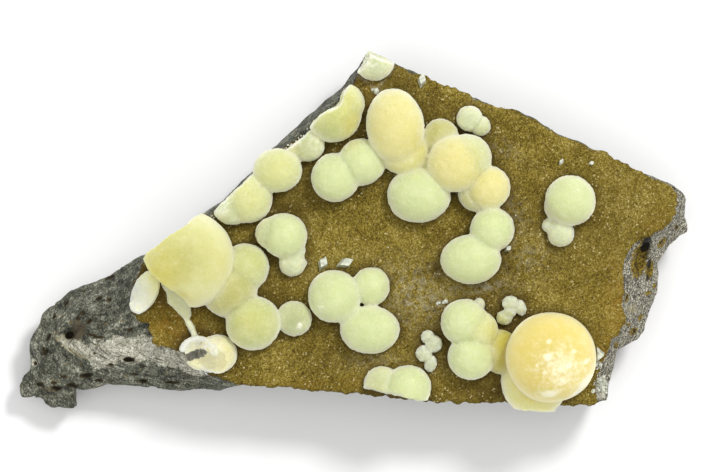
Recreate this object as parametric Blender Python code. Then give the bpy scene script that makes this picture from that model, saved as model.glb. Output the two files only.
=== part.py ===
"""A broken slab of basalt with balls of pale calcite grown on one face of it.

The slab lies on its broken back with the crystals up. X runs along the slab, Y across it,
+Z is up and Z = 0 is the ground. The drawing below is in millimetres, and the last step
turns it into Blender's metres.
"""

import math
from collections import namedtuple

import bmesh
import bpy
from mathutils import Matrix, Vector, noise
from mathutils.bvhtree import BVHTree
from mathutils.geometry import delaunay_2d_cdt, intersect_point_line

MM = 0.001

# Driving dimensions, in millimetres
SPECIMEN_CENTRE = (-0.24, 0.09)
WALL_HEIGHT = 15.0
WALL_SWELL = 0.35
WALL_SWELL_LENGTH = 14.0
LINING_THICKNESS = 0.6
GAP = 0.3
GRID_STEP = 5.8
RIM_STEP = 2.6
RIM_ROUGHNESS = 0.18
RIM_SEED = 4

# The flanks of the slab are rings below its rim: share of the rim's height, distance from the
# slab's spine against the rim's, and roughness
SPINE = ((-39.5, -16.5), (28.0, -6.0))
FLANKS = ((0.76, 0.995, 0.5), (0.48, 0.97, 0.8), (0.2, 0.93, 0.7), (0.0, 0.89, 0.5))

# A ball's facets, by its largest radius
LARGE_BALL = 5.0
SMALL_BALL = 1.65
BALL_SEGMENTS = 14
LARGE_BALL_SEGMENTS = 22

# A gas bubble longer than this has more facets
LARGE_PIT = 3.0

Ball = namedtuple("Ball", "x y radius rise turn breaks", defaults=(0, ()))
Break = namedtuple("Break", "x y bearing lean rise", defaults=(0,))
Pit = namedtuple("Pit", "x y length width depth turn")
SidePit = namedtuple("SidePit", "bearing height length width depth")
Crystal = namedtuple("Crystal", "name x y length width height turn")

# The slab's widest outline and the height it has there, clockwise from the top corner
RIM = (
    (1.7, 24.1, 14.2), (5.2, 22.6, 14.5), (8.8, 21.0, 14.6), (11.5, 19.8, 14.6),
    (14.1, 18.9, 14.6), (16.8, 17.8, 14.6), (19.5, 16.6, 14.6), (21.9, 16.2, 14.6),
    (25.5, 14.2, 14.5), (29.5, 12.2, 14.6), (33.6, 10.5, 14.6), (38.3, 8.0, 14.4),
    (42.3, 6.4, 14.0), (43.6, 5.6, 13.6), (44.6, 4.6, 12.8), (44.4, 2.4, 11.5),
    (45.0, 0.0, 10.0), (43.6, -0.8, 9.8), (42.4, -2.1, 9.5), (41.1, -4.3, 9.0),
    (41.1, -7.2, 8.6), (40.9, -8.8, 8.5), (39.6, -12.2, 8.5), (39.1, -13.3, 8.8),
    (37.9, -14.7, 9.4), (35.4, -15.9, 11.4), (34.9, -18.0, 12.2), (34.2, -20.6, 12.8),
    (34.0, -22.6, 13.4), (32.9, -23.0, 14.0), (30.2, -23.2, 14.5), (24.9, -23.0, 14.6),
    (20.2, -22.8, 14.6), (15.5, -22.9, 14.6), (10.4, -22.8, 14.6), (5.6, -22.1, 14.6),
    (-0.6, -21.6, 14.6), (-7.3, -21.0, 14.6), (-14.0, -20.5, 13.8), (-18.3, -21.4, 10.5),
    (-23.4, -21.4, 9.5), (-27.4, -21.2, 8.8), (-30.8, -21.0, 8.5), (-33.7, -20.9, 8.4),
    (-35.6, -21.3, 8.0), (-38.1, -21.4, 7.8), (-38.3, -23.5, 6.6), (-41.1, -23.9, 6.0),
    (-42.1, -23.5, 5.9), (-42.5, -22.4, 6.0), (-45.2, -22.4, 5.0), (-45.5, -21.0, 5.0),
    (-45.0, -19.9, 5.4), (-43.9, -18.6, 6.0), (-44.2, -15.8, 6.4), (-43.9, -14.4, 6.6),
    (-42.7, -13.1, 6.9), (-42.1, -11.3, 7.1), (-41.3, -10.3, 7.4), (-39.9, -9.5, 7.8),
    (-38.4, -8.2, 8.2), (-36.8, -7.5, 8.6), (-34.4, -6.6, 9.2), (-32.8, -5.9, 9.6),
    (-30.8, -4.6, 10.3), (-28.7, -3.4, 11.2), (-27.1, -2.7, 11.6), (-23.7, 0.0, 12.0),
    (-20.3, 2.4, 12.2), (-17.8, 4.2, 12.0), (-16.4, 5.5, 12.0), (-13.7, 8.2, 11.6),
    (-11.3, 10.9, 11.2), (-8.6, 12.9, 10.8), (-6.6, 14.3, 10.6), (-4.6, 16.1, 10.9),
    (-2.9, 17.8, 11.4), (-1.3, 19.4, 12.0), (-0.3, 20.8, 12.8), (0.5, 22.1, 13.4),
)

# The outline of the brown lining, clockwise from the top corner
LINING_OUTLINE = (
    (1.9, 23.4), (5.2, 22.1), (8.8, 20.5), (14.1, 18.4), (19.5, 16.1), (21.9, 15.7),
    (25.5, 13.7), (29.5, 11.7), (33.6, 10.0), (38.3, 7.5), (41.9, 5.8), (43.2, 4.7),
    (43.0, 2.6), (41.4, 0.6), (40.0, -0.6), (38.3, -1.3), (36.7, -2.5), (35.7, -3.8),
    (36.0, -6.5), (35.8, -10.0), (36.0, -12.0), (34.6, -13.9), (34.0, -15.5),
    (33.2, -17.5), (32.4, -19.4), (32.0, -21.5), (32.4, -22.5), (30.2, -22.7),
    (24.9, -22.5), (20.2, -22.3), (15.5, -22.4), (10.4, -22.3), (5.6, -21.6),
    (-0.6, -21.1), (-7.3, -20.5), (-14.0, -19.9), (-17.3, -19.4), (-20.0, -18.3),
    (-22.0, -16.6), (-23.4, -15.5), (-25.4, -15.1), (-27.0, -14.5), (-27.4, -13.3),
    (-27.6, -12.2), (-29.1, -11.1), (-30.2, -9.5), (-29.8, -7.0), (-29.0, -5.6),
    (-28.4, -4.4), (-27.5, -3.8), (-26.4, -3.1), (-23.1, -0.6), (-19.5, 2.0),
    (-17.0, 3.9), (-15.4, 5.4), (-12.8, 7.9), (-10.2, 10.4), (-7.6, 12.2), (-5.6, 13.8),
    (-3.6, 15.6), (-2.0, 17.3), (-0.6, 19.0), (0.3, 20.6), (1.1, 22.0),
)

# Points on the bare fracture left and right of the lining, with their heights
FRACTURE_POINTS = (
    (-34.1, -14.2, 12.5), (-36.0, -14.6, 11.4), (-31.7, -13.9, 13.4), (-32.8, -9.2, 12.4),
    (-36.1, -9.9, 11.6), (-39.5, -12.2, 10.2), (-41.1, -14.9, 9.2), (-42.1, -17.3, 8.2),
    (-38.7, -14.1, 7.4), (-37.1, -13.3, 9.0), (-36.4, -12.2, 11.6), (-38.4, -12.5, 10.6),
    (-35.2, -13.7, 11.8), (-37.5, -14.9, 9.6), (-35.7, -15.7, 11.0), (-39.5, -15.9, 8.8),
    (-37.5, -17.3, 8.6), (-33.4, -16.2, 12.2), (-30.1, -15.9, 13.0), (-35.4, -17.6, 10.0),
    (-32.8, -18.1, 10.8), (-28.7, -18.4, 11.6), (-25.4, -17.3, 13.2), (-24.1, -18.9, 12.0),
    (-20.0, -19.6, 12.4), (-39.5, -19.3, 8.2), (-41.5, -20.6, 7.4), (-39.5, -22.4, 7.4),
    (-34.1, -19.6, 9.4), (37.2, -7.2, 13.5), (38.9, -9.2, 11.6), (36.9, -10.6, 13.2),
    (41.6, -0.7, 12.6), (39.9, -4.2, 11.4), (36.9, -13.9, 12.4), (34.5, -17.6, 13.8),
)

# Gas bubbles broken open on the fracture, seen from above
PITS = (
    Pit(38.7, -3.3, 4.8, 1.8, 2.0, 72), Pit(39.8, -5.2, 2.8, 1.0, 1.4, 82),
    Pit(43.4, 0.5, 0.9, 0.8, 0.8, 0), Pit(36.6, -9.0, 1.1, 0.7, 0.7, 75),
    Pit(37.5, -13.5, 1.2, 0.8, 0.7, 20), Pit(-30.4, -17.3, 2.0, 0.9, 0.9, 0),
    Pit(-36.2, -19.6, 1.9, 0.8, 0.8, 5), Pit(-28.7, -20.4, 1.4, 0.8, 0.7, 0),
    Pit(-40.5, -21.4, 1.4, 0.8, 0.8, -5), Pit(-41.7, -16.6, 1.1, 0.9, 0.8, 60),
    Pit(-35.9, -12.0, 1.2, 0.7, 0.7, 40),
)

# Gas bubbles broken open on the flanks, which show only from the sides, round one centre
PIT_CENTRE = (-3.0, -7.5)
SIDE_PITS = (
    SidePit(20, 6.0, 3.4, 1.4, 1.2), SidePit(52, 9.5, 2.2, 1.2, 1.0),
    SidePit(78, 5.0, 3.0, 1.6, 1.3), SidePit(112, 6.5, 2.4, 1.2, 1.0),
    SidePit(146, 4.6, 2.8, 1.2, 1.1), SidePit(238, 6.0, 2.6, 1.3, 1.0),
    SidePit(272, 9.0, 3.2, 1.5, 1.3), SidePit(300, 4.8, 2.6, 1.4, 1.1),
    SidePit(325, 7.5, 2.4, 1.0, 1.0),
)

# Broken faces of the calcite: a point, the way it faces, how far it leans up, and the point's
# height over the lining where that isn't 0
UPPER_LEFT_EDGE = Break(-23.6, -0.4, 128, -3)
CHIPPED_SIDE = Break(-25.5, -6.7, 225.5, -4)
UPPER_LEFT_STRIP = Break(-16.5, 5.0, 135, 3)
UPPER_STRIP = Break(-5.5, 14.8, 135, 2)
TOP_CORNER = Break(2.9, 23.6, 67, 8)
TOP_LEFT_CORNER = Break(0.8, 22.1, 149, 10)
BOTTOM_EDGE = Break(5.6, -22.0, 256, 8)
LOWER_EDGE = Break(24.0, -24.0, 270, 3)
HALF_BALL_FACE = Break(-28.3, -8.35, 158, 62, 1.2)
LOWER_LEFT_FACE = Break(-20.4, -17.2, 205, 36)
STUB_TOP = Break(-21.4, -15.6, 225, 78, 1.3)

# The balls of each cluster. rise is the height of a ball's centre over the lining
CLUSTERS = {
    "left_ball_cluster": (
        Ball(-22.67, -3.86, 6.6, 3.2, 0, (UPPER_LEFT_EDGE, CHIPPED_SIDE)),
        Ball(-14.7, -4.9, 3.25, 1.3), Ball(-16.8, -7.8, 3.85, 1.4),
        Ball(-13.6, -12.3, 3.7, 2.0), Ball(-8.1, -11.75, 2.35, 1.0),
    ),
    "broken_half_ball": (
        Ball(-28.3, -8.35, (1.8, 2.75, 2.3), 0.9, -27, (HALF_BALL_FACE,)),
    ),
    "broken_lower_left_ball": (
        Ball(-18.7, -16.8, 2.75, 0.9, 0, (LOWER_LEFT_FACE,)),
        Ball(-21.4, -15.6, 1.95, 0.6, 0, (STUB_TOP,)),
    ),
    "lobed_ball": (
        Ball(-9.4, -0.6, 3.05, 1.9), Ball(-11.1, -0.3, 2.15, 2.0),
        Ball(-8.6, -2.5, 2.0, 0.9), Ball(-8.4, -4.3, 1.8, 0.9), Ball(-6.75, -4.3, 0.45, 0.6),
    ),
    "upper_left_edge_balls": (
        Ball(-14.4, 4.5, 3.45, 1.2, 0, (UPPER_LEFT_STRIP,)),
        Ball(-16.3, 3.75, 2.9, 1.0, 0, (UPPER_LEFT_STRIP,)),
        Ball(-10.3, 8.1, (3.25, 2.95, 3.1), 2.0),
        Ball(-8.1, 10.6, 1.6, 0.7, 0, (UPPER_STRIP,)),
        Ball(-6.3, 11.5, 2.2, 0.8, 0, (UPPER_STRIP,)),
        Ball(-2.8, 15.6, 3.7, 1.8, 0, (UPPER_STRIP,)),
        Ball(-1.4, 17.1, 2.7, 1.8, 0, (UPPER_STRIP,)),
    ),
    "upper_ball_cluster": (
        Ball(-2.6, 7.2, 3.25, 1.8), Ball(0.9, 9.2, 3.15, 1.7),
        Ball(5.2, 14.7, (3.95, 4.4, 4.2), 3.4), Ball(6.4, 11.3, 3.5, 2.4),
        Ball(11.5, 12.7, 2.4, 1.2), Ball(13.5, 9.0, 3.8, 3.0), Ball(15.1, 9.7, 3.25, 2.5),
        Ball(17.9, 5.8, 2.95, 2.4), Ball(16.5, 5.2, 2.65, 1.3),
        Ball(8.6, 4.8, (4.2, 3.7, 3.7), 1.8), Ball(18.4, 0.2, 3.0, 1.8),
        Ball(15.6, -3.8, (4.1, 3.35, 3.5), 1.8), Ball(9.6, 9.3, 1.6, 0.9),
    ),
    "centre_ball_cluster": (
        Ball(-2.7, -8.8, 3.55, 2.1), Ball(2.2, -7.4, 2.6, 1.2),
        Ball(2.0, -13.2, (4.05, 3.2, 3.3), 1.7),
    ),
    "bottom_edge_balls": (
        Ball(3.6, -20.6, 2.4, 0.9, 0, (BOTTOM_EDGE,)),
        Ball(7.2, -21.1, 3.05, 1.4, 0, (BOTTOM_EDGE,)),
    ),
    "lower_right_cluster": (
        Ball(26.2, -16.9, 6.08, 4.7), Ball(24.2, -20.2, (4.6, 4.5, 3.4), 1.0, 0, (LOWER_EDGE,)),
        Ball(14.7, -12.3, 3.2, 1.9), Ball(16.4, -13.3, 2.75, 1.9), Ball(15.6, -16.8, 3.2, 1.9),
        Ball(19.6, -16.2, (2.6, 3.0, 2.6), 0.9), Ball(16.7, -9.9, (0.85, 1.0, 0.85), 0.5),
    ),
    "right_pair": (
        Ball(28.9, 4.1, 3.38, 2.0), Ball(27.7, 3.3, 2.35, 1.0), Ball(27.6, -0.3, 1.78, 0.9),
        Ball(26.1, 0.8, 1.05, 0.5),
    ),
    "top_right_pair": (Ball(15.5, 15.2, 1.9, 0.7), Ball(16.9, 14.0, 1.4, 0.6)),
    "top_corner_half_ball": (
        Ball(2.6, 22.9, 2.7, 0.8, 0, (TOP_CORNER, TOP_LEFT_CORNER)),
    ),
    "small_balls_left": (
        Ball(9.8, -14.2, 1.1, 0.5), Ball(10.5, -15.2, 1.3, 0.6), Ball(9.3, -16.5, 1.3, 0.4),
        Ball(10.2, -17.8, (0.95, 1.3, 0.9), 0.4, -15),
    ),
    "small_balls_right": (
        Ball(20.85, -9.8, (1.3, 1.15, 1.1), 0.6), Ball(20.2, -11.5, (1.2, 1.3, 1.0), 0.5),
        Ball(22.25, -10.3, (0.95, 1.3, 0.95), 0.5, 15),
    ),
}

# Single crystals lying on the lining, by the length and width of their outline
CRYSTALS = (
    Crystal("top_crystal", 9.0, 20.1, 2.1, 1.3, 0.8, 80),
    Crystal("pointed_crystal", -4.3, -4.45, 2.2, 1.5, 1.0, 62),
    Crystal("long_crystal", -1.35, -4.3, 2.6, 1.5, 1.0, 22),
    Crystal("edge_crystal", 20.7, -2.5, 1.1, 0.8, 0.8, 40),
    Crystal("right_crystal", 33.2, -16.25, 1.7, 1.7, 0.9, 10),
    Crystal("small_crystal", 27.7, 9.2, 1.1, 0.75, 0.5, 65),
    Crystal("far_crystal", 31.7, 9.1, 0.8, 0.8, 0.5, 20),
)

# What is left of a broken ball's foot: a low curved sliver, as outline points
SLIVER_OUTLINE = (
    (-25.9, -7.5), (-25.7, -8.5), (-25.0, -10.0), (-23.8, -11.3), (-22.7, -12.7),
    (-22.0, -13.3), (-21.4, -13.2), (-21.6, -12.5), (-22.2, -11.6), (-22.3, -10.8),
    (-22.8, -10.3), (-23.6, -9.5), (-24.7, -8.3), (-25.5, -7.6),
)
SLIVER_HEIGHT = 1.1

# Colours of the pieces, and how rough they are
BASALT_GREY = ((0.17, 0.17, 0.17), 0.85)
LINING_BROWN = ((0.24, 0.17, 0.05), 0.7)
CALCITE_GREEN = ((0.72, 0.76, 0.46), 0.4)
CALCITE_YELLOW = ((0.78, 0.74, 0.36), 0.4)
CALCITE_ORANGE = ((0.86, 0.68, 0.28), 0.4)
CALCITE_WHITE = ((0.85, 0.85, 0.78), 0.45)
CLUSTER_COLOURS = {
    "left_ball_cluster": CALCITE_YELLOW,
    "upper_ball_cluster": CALCITE_YELLOW,
    "upper_left_edge_balls": CALCITE_YELLOW,
    "lower_right_cluster": CALCITE_ORANGE,
    "broken_half_ball": CALCITE_WHITE,
    "broken_lower_left_ball": CALCITE_WHITE,
    "top_corner_half_ball": CALCITE_WHITE,
}


def clear_scene():
    for old in list(bpy.data.objects):
        bpy.data.objects.remove(old)


def material(name, finish):
    colour, roughness = finish
    made = bpy.data.materials.new(name)
    made.use_nodes = True
    shader = made.node_tree.nodes["Principled BSDF"]
    shader.inputs["Base Color"].default_value = (*colour, 1.0)
    shader.inputs["Roughness"].default_value = roughness
    shader.inputs["Metallic"].default_value = 0.0
    return made


def object_from(name, bm):
    """An object in the scene that holds bm, which is freed."""
    mesh = bpy.data.meshes.new(name)
    bm.to_mesh(mesh)
    bm.free()
    made = bpy.data.objects.new(name, mesh)
    bpy.context.scene.collection.objects.link(made)
    return made


def combine(target, other, operation):
    """Joins other to target, or cuts it away, and removes other."""
    modifier = target.modifiers.new(operation.title(), "BOOLEAN")
    modifier.operation = operation
    modifier.object = other
    graph = bpy.context.evaluated_depsgraph_get()
    mesh = bpy.data.meshes.new_from_object(target.evaluated_get(graph))
    target.modifiers.clear()
    target.data = mesh
    bpy.data.objects.remove(other)


def wall_height(x, y):
    """Height of the basalt under the lining: almost flat, with a slow swell."""
    place = Vector((x / WALL_SWELL_LENGTH, y / WALL_SWELL_LENGTH, 3.1))
    return WALL_HEIGHT + WALL_SWELL * noise.noise(place)


def lining_top(x, y):
    return wall_height(x, y) + GAP + LINING_THICKNESS


def loop_edges(count, first=0):
    return [(first + i, first + (i + 1) % count) for i in range(count)]


def distance_to_loop(x, y, loop):
    point = Vector((x, y, 0))
    nearest = math.inf
    for i, j in loop_edges(len(loop)):
        start = Vector((*loop[i][:2], 0))
        end = Vector((*loop[j][:2], 0))
        on_line, share = intersect_point_line(point, start, end)
        foot = start.lerp(end, min(max(share, 0), 1))
        nearest = min(nearest, (point - foot).length)
    return nearest


def is_inside(x, y, loop):
    """Counts how often a line from the point to the right crosses the loop."""
    inside = False
    for i, j in loop_edges(len(loop)):
        (ax, ay), (bx, by) = loop[i][:2], loop[j][:2]
        if (ay > y) != (by > y) and x < ax + (y - ay) / (by - ay) * (bx - ax):
            inside = not inside
    return inside


def grid_inside(loop, margin):
    """Staggered points inside the loop, GRID_STEP apart."""
    row_step = GRID_STEP * math.sqrt(3) / 2
    columns = range(-12, 13)
    rows = range(-8, 9)
    for row in rows:
        for column in columns:
            x = (column + 0.5 * (row % 2)) * GRID_STEP
            y = row * row_step
            if is_inside(x, y, loop) and distance_to_loop(x, y, loop) > margin:
                yield x, y


def ragged_rim():
    """The rim with points RIM_STEP apart, pushed in and out a little, anticlockwise."""
    points = []
    for i, j in loop_edges(len(RIM)):
        start, end = Vector(RIM[i]), Vector(RIM[j])
        parts = max(1, round((end.xy - start.xy).length / RIM_STEP))
        points += [start.lerp(end, k / parts) for k in range(parts)]
    for point in points:
        wander = noise.noise_vector(point * 0.9) * RIM_ROUGHNESS
        point.xy += wander.xy
    return points[::-1]


def sheet(points, loops, outer):
    """A bmesh of triangles through the points, inside the outer loop and along all the loops."""
    flat = [Vector(p[:2]) for p in points]
    found = delaunay_2d_cdt(flat, loops, [outer], 1, 1e-4)
    bm = bmesh.new()
    heights = [points[origin[0]][2] for origin in found[3]]
    verts = [bm.verts.new((p.x, p.y, z)) for p, z in zip(found[0], heights)]
    for face in found[2]:
        bm.faces.new([verts[i] for i in face])
    return bm


def from_spine(point):
    """The level way from the nearest point of the slab's spine to the point."""
    start, end = (Vector((*place, 0)) for place in SPINE)
    level = Vector((point.x, point.y, 0))
    share = intersect_point_line(level, start, end)[1]
    return level - start.lerp(end, min(max(share, 0), 1))


def drop_edges(bm):
    """Extrudes the sheet's open edges and returns the new vertices, still in place."""
    edges = [e for e in bm.edges if e.is_boundary]
    made = bmesh.ops.extrude_edge_only(bm, edges=edges)
    return [v for v in made["geom"] if isinstance(v, bmesh.types.BMVert)]


def close_below(bm):
    bmesh.ops.holes_fill(bm, edges=[e for e in bm.edges if e.is_boundary])
    bmesh.ops.recalc_face_normals(bm, faces=bm.faces)


def slab_body():
    """The slab: its upper side as one sheet, and rings of broken flank down to the flat back."""
    rim = [tuple(p) for p in ragged_rim()]
    wall_loop = [(x, y, wall_height(x, y)) for x, y in reversed(LINING_OUTLINE)]
    wall_inner = [(x, y, wall_height(x, y)) for x, y in grid_inside(LINING_OUTLINE, 2.0)]
    points = rim + wall_loop + wall_inner + list(FRACTURE_POINTS)
    loops = loop_edges(len(wall_loop), len(rim))
    bm = sheet(points, loops, list(range(len(rim))))
    last_share, last_size = 1.0, 1.0
    for share, size, roughness in FLANKS:
        for vert in drop_edges(bm):
            outward = from_spine(vert.co)
            height = vert.co.z * share / last_share
            vert.co += outward * (size / last_size - 1)
            vert.co.z = height
            lump = noise.noise(vert.co * 0.35) + 0.6 * noise.noise(vert.co * 1.1)
            vert.co += outward.normalized() * (min(lump, 0.2) - 0.2) * roughness
        last_share, last_size = share, size
    close_below(bm)
    return bm


def ellipsoid(length, width, depth, turn):
    bm = bmesh.new()
    bmesh.ops.create_icosphere(bm, subdivisions=2 if length > LARGE_PIT else 1, radius=0.5)
    # A quarter turn off the poles keeps facets clear of the slab's own flat faces.
    matrix = Matrix.Rotation(math.radians(turn), 4, "Z")
    matrix @= Matrix.Diagonal((length, width, 2 * depth, 1))
    matrix @= Matrix.Rotation(math.radians(25), 4, "X")
    bmesh.ops.transform(bm, matrix=matrix, verts=bm.verts)
    return bm


def dig(slab, pit_mesh, start, direction, turn=None):
    """Cuts a pit where a line from start along direction meets the slab."""
    surface = BVHTree.FromObject(slab, bpy.context.evaluated_depsgraph_get())
    hit = surface.ray_cast(start, direction)[0]
    matrix = Matrix.Translation(hit)
    if turn is not None:
        matrix @= turn
    bmesh.ops.transform(pit_mesh, matrix=matrix, verts=pit_mesh.verts)
    combine(slab, object_from("pit", pit_mesh), "DIFFERENCE")


def basalt_slab():
    slab = object_from("basalt_slab", slab_body())
    for pit in PITS:
        cutter = ellipsoid(pit.length, pit.width, pit.depth, pit.turn)
        dig(slab, cutter, Vector((pit.x, pit.y, 40)), Vector((0, 0, -1)))
    for pit in SIDE_PITS:
        bearing = math.radians(pit.bearing)
        outward = Vector((math.cos(bearing), math.sin(bearing), 0))
        start = Vector((*PIT_CENTRE, pit.height)) + outward * 80
        cutter = ellipsoid(pit.length, pit.width, pit.depth, 0)
        upright = Matrix.Rotation(bearing + math.pi / 2, 4, "Z") @ Matrix.Rotation(math.pi / 2, 4, "X")
        dig(slab, cutter, start, -outward, upright)
    return slab


def brown_lining():
    """The thin crust on the cavity wall, which follows the basalt a gap above it."""
    outline = list(reversed(LINING_OUTLINE))
    inner = list(grid_inside(LINING_OUTLINE, 2.0))
    points = [(x, y, lining_top(x, y)) for x, y in outline + inner]
    bm = sheet(points, [], list(range(len(outline))))
    under = bmesh.ops.extrude_face_region(bm, geom=bm.faces[:])["geom"]
    for vert in under:
        if isinstance(vert, bmesh.types.BMVert):
            vert.co.z -= LINING_THICKNESS
    bmesh.ops.recalc_face_normals(bm, faces=bm.faces)
    return object_from("brown_lining", bm)


def ground_below():
    """Everything up to a gap above the lining, which is cut from the calcite that stands on it."""
    bm = bmesh.new()
    steps = 16
    half_length, half_width = 50, 30
    bmesh.ops.create_grid(bm, x_segments=steps, y_segments=steps * 3 // 5, size=1)
    for vert in bm.verts:
        vert.co.x *= half_length
        vert.co.y *= half_width
        vert.co.z = lining_top(vert.co.x, vert.co.y) + GAP
    for vert in drop_edges(bm):
        vert.co.z = 0
    close_below(bm)
    return bm


def break_off(bm, broken, height):
    """Cuts bm along a broken face and closes the cut."""
    bearing, lean = math.radians(broken.bearing), math.radians(broken.lean)
    level = math.cos(lean)
    normal = Vector((math.cos(bearing) * level, math.sin(bearing) * level, math.sin(lean)))
    place = Vector((broken.x, broken.y, height + broken.rise))
    geometry = bm.verts[:] + bm.edges[:] + bm.faces[:]
    bmesh.ops.bisect_plane(bm, geom=geometry, plane_co=place, plane_no=normal, clear_outer=True)
    close_below(bm)


def ball_body(ball, number):
    """One ball of a cluster. Each is turned its own way, so that no two share a facet."""
    radii = ball.radius if isinstance(ball.radius, tuple) else (ball.radius,) * 3
    bm = bmesh.new()
    if max(radii) < SMALL_BALL:
        bmesh.ops.create_icosphere(bm, subdivisions=1, radius=1)
    else:
        segments = LARGE_BALL_SEGMENTS if max(radii) > LARGE_BALL else BALL_SEGMENTS
        bmesh.ops.create_uvsphere(bm, u_segments=segments, v_segments=segments // 2, radius=1)
    height = lining_top(ball.x, ball.y)
    matrix = Matrix.Translation((ball.x, ball.y, height + ball.rise))
    matrix @= Matrix.Rotation(math.radians(ball.turn), 4, "Z")
    matrix @= Matrix.Diagonal((*radii, 1))
    matrix @= Matrix.Rotation(0.31 + 0.37 * number, 4, "Z")
    matrix @= Matrix.Rotation(0.12 + 0.05 * number, 4, "X")
    bmesh.ops.transform(bm, matrix=matrix, verts=bm.verts)
    for number_of_break, broken in enumerate(ball.breaks):
        # Neighbours broken along one face are stepped, as a fracture is.
        step = 0.07 * number + 0.03 * number_of_break
        bearing = math.radians(broken.bearing)
        stepped = broken._replace(
            x=broken.x - step * math.cos(bearing), y=broken.y - step * math.sin(bearing)
        )
        break_off(bm, stepped, height)
    return bm


def rest_on_lining(piece):
    combine(piece, object_from("ground", ground_below()), "DIFFERENCE")


def ball_cluster(name, balls):
    cluster = object_from(name, ball_body(balls[0], 0))
    for number, ball in enumerate(balls[1:], 1):
        combine(cluster, object_from("ball", ball_body(ball, number)), "UNION")
    rest_on_lining(cluster)
    return cluster


def single_crystal(crystal):
    """A blocky crystal with a rhombic outline and sloping sides."""
    bm = bmesh.new()
    bmesh.ops.create_cone(
        bm, segments=4, radius1=0.64, radius2=0.34, depth=2, cap_ends=True
    )
    height = lining_top(crystal.x, crystal.y)
    matrix = Matrix.Translation((crystal.x, crystal.y, height))
    matrix @= Matrix.Rotation(math.radians(crystal.turn), 4, "Z")
    matrix @= Matrix.Diagonal((crystal.length, crystal.width, crystal.height, 1))
    bmesh.ops.transform(bm, matrix=matrix, verts=bm.verts)
    piece = object_from(crystal.name, bm)
    rest_on_lining(piece)
    return piece


def broken_sliver():
    bm = bmesh.new()
    outline = [bm.verts.new((x, y, lining_top(x, y))) for x, y in SLIVER_OUTLINE]
    face = bm.faces.new(outline)
    raised = bmesh.ops.extrude_face_region(bm, geom=[face])["geom"]
    for vert in raised:
        if isinstance(vert, bmesh.types.BMVert):
            vert.co.z += SLIVER_HEIGHT
    bmesh.ops.recalc_face_normals(bm, faces=bm.faces)
    bmesh.ops.triangulate(bm, faces=bm.faces)
    piece = object_from("broken_sliver", bm)
    rest_on_lining(piece)
    return piece


def place(piece, finish, smooth):
    """Turns the drawing into metres about the specimen's centre, and gives the finish."""
    centre = Vector((*SPECIMEN_CENTRE, 0))
    piece.data.transform(Matrix.Scale(MM, 4) @ Matrix.Translation(-centre))
    piece.data.materials.clear()
    piece.data.materials.append(material(piece.name, finish))
    if smooth:
        piece.data.shade_smooth()
        piece.data.set_sharp_from_angle(angle=math.radians(35))


def main():
    clear_scene()
    noise.seed_set(RIM_SEED)
    place(basalt_slab(), BASALT_GREY, False)
    place(brown_lining(), LINING_BROWN, False)
    for name, balls in CLUSTERS.items():
        place(ball_cluster(name, balls), CLUSTER_COLOURS.get(name, CALCITE_GREEN), True)
    for crystal in CRYSTALS:
        place(single_crystal(crystal), CALCITE_WHITE, False)
    place(broken_sliver(), CALCITE_GREEN, False)


main()
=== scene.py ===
import math
from collections import namedtuple

import bmesh
import bpy
import numpy as np
from mathutils import Matrix, Vector, noise


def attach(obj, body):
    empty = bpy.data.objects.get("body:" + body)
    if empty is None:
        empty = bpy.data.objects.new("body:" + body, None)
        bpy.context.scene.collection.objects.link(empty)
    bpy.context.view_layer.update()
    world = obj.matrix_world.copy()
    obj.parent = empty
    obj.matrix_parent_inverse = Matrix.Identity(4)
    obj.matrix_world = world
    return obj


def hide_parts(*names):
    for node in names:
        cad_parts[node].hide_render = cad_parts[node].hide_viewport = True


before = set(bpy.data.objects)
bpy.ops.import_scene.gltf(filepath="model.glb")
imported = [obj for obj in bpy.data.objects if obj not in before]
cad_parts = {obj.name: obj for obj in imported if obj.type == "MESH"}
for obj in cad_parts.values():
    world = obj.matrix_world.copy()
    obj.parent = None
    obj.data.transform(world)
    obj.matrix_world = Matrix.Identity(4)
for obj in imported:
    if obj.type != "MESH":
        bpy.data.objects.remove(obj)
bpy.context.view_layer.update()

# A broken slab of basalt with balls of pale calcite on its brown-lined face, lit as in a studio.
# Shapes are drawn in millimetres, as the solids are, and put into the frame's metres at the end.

MM = 0.001
SEED = 11

# The point of the drawing that stands at the frame's origin, and the height of the lining's top
SPECIMEN_CENTRE = Vector((-0.24, 0.09, 0))
LINING_HEIGHT = 15.9

# Sizes of the small faces that the shapes are rebuilt from
ROCK_FACE = 0.315
LINING_FACE = 0.25
BALL_FACE = 0.155
SMALL_FACE = 0.09
CRYSTAL_FACE = 0.06

# How many times each rebuilt shape is smoothed
ROUGH_SMOOTHING = 1
BALL_SMOOTHING = 8
SMALL_SMOOTHING = 2
SLIVER_SMOOTHING = 3

# How often a ball's first shape is divided, round or with facets
ROUND_DIVISIONS = 5
FACETED_DIVISIONS = 1

# The balls reach this far into the lining, and the lining this far into the rock
FOOT_DEPTH = 0.55
LINING_SINK = 0.55

# The colours of two balls that meet blend this far
BLEND = 0.35

# Painted shade: the lining is painted this much darker at the foot of a ball and in the gaps between
# balls, over this distance
CONTACT_SHADE = 0.7
CONTACT_REACH = 0.55

# The shares of its colour as seen that the calcite is painted with, to allow for the light, and the
# lightest that it gets
CROWN_SHARE = 0.76
FLANK_SHARE = 0.98
LIGHTEST = 0.97

# How soon the colour of a crown gives way to that of the flank
FADE = 0.65

# Painted rim light: the pale outline of a ball
RIM_LIGHT_COLOUR = (244, 243, 220)
RIM_STRENGTH = 0.75
RIM_NARROWNESS = 5

# White crust reaches this far in from a broken face, and begins and is full at these shares of the
# ball's radius. A face begins to be torn, and is, at these shares of that reach
CRUST_REACH = 0.35
CRUST_BAND = (0.65, 0.95)
TORN_BAND = (0.3, 0.95)

# Chalky spots and painted sheen lie at least this high over the lining
CHALK_AND_SHEEN_HEIGHT = 3

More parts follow.
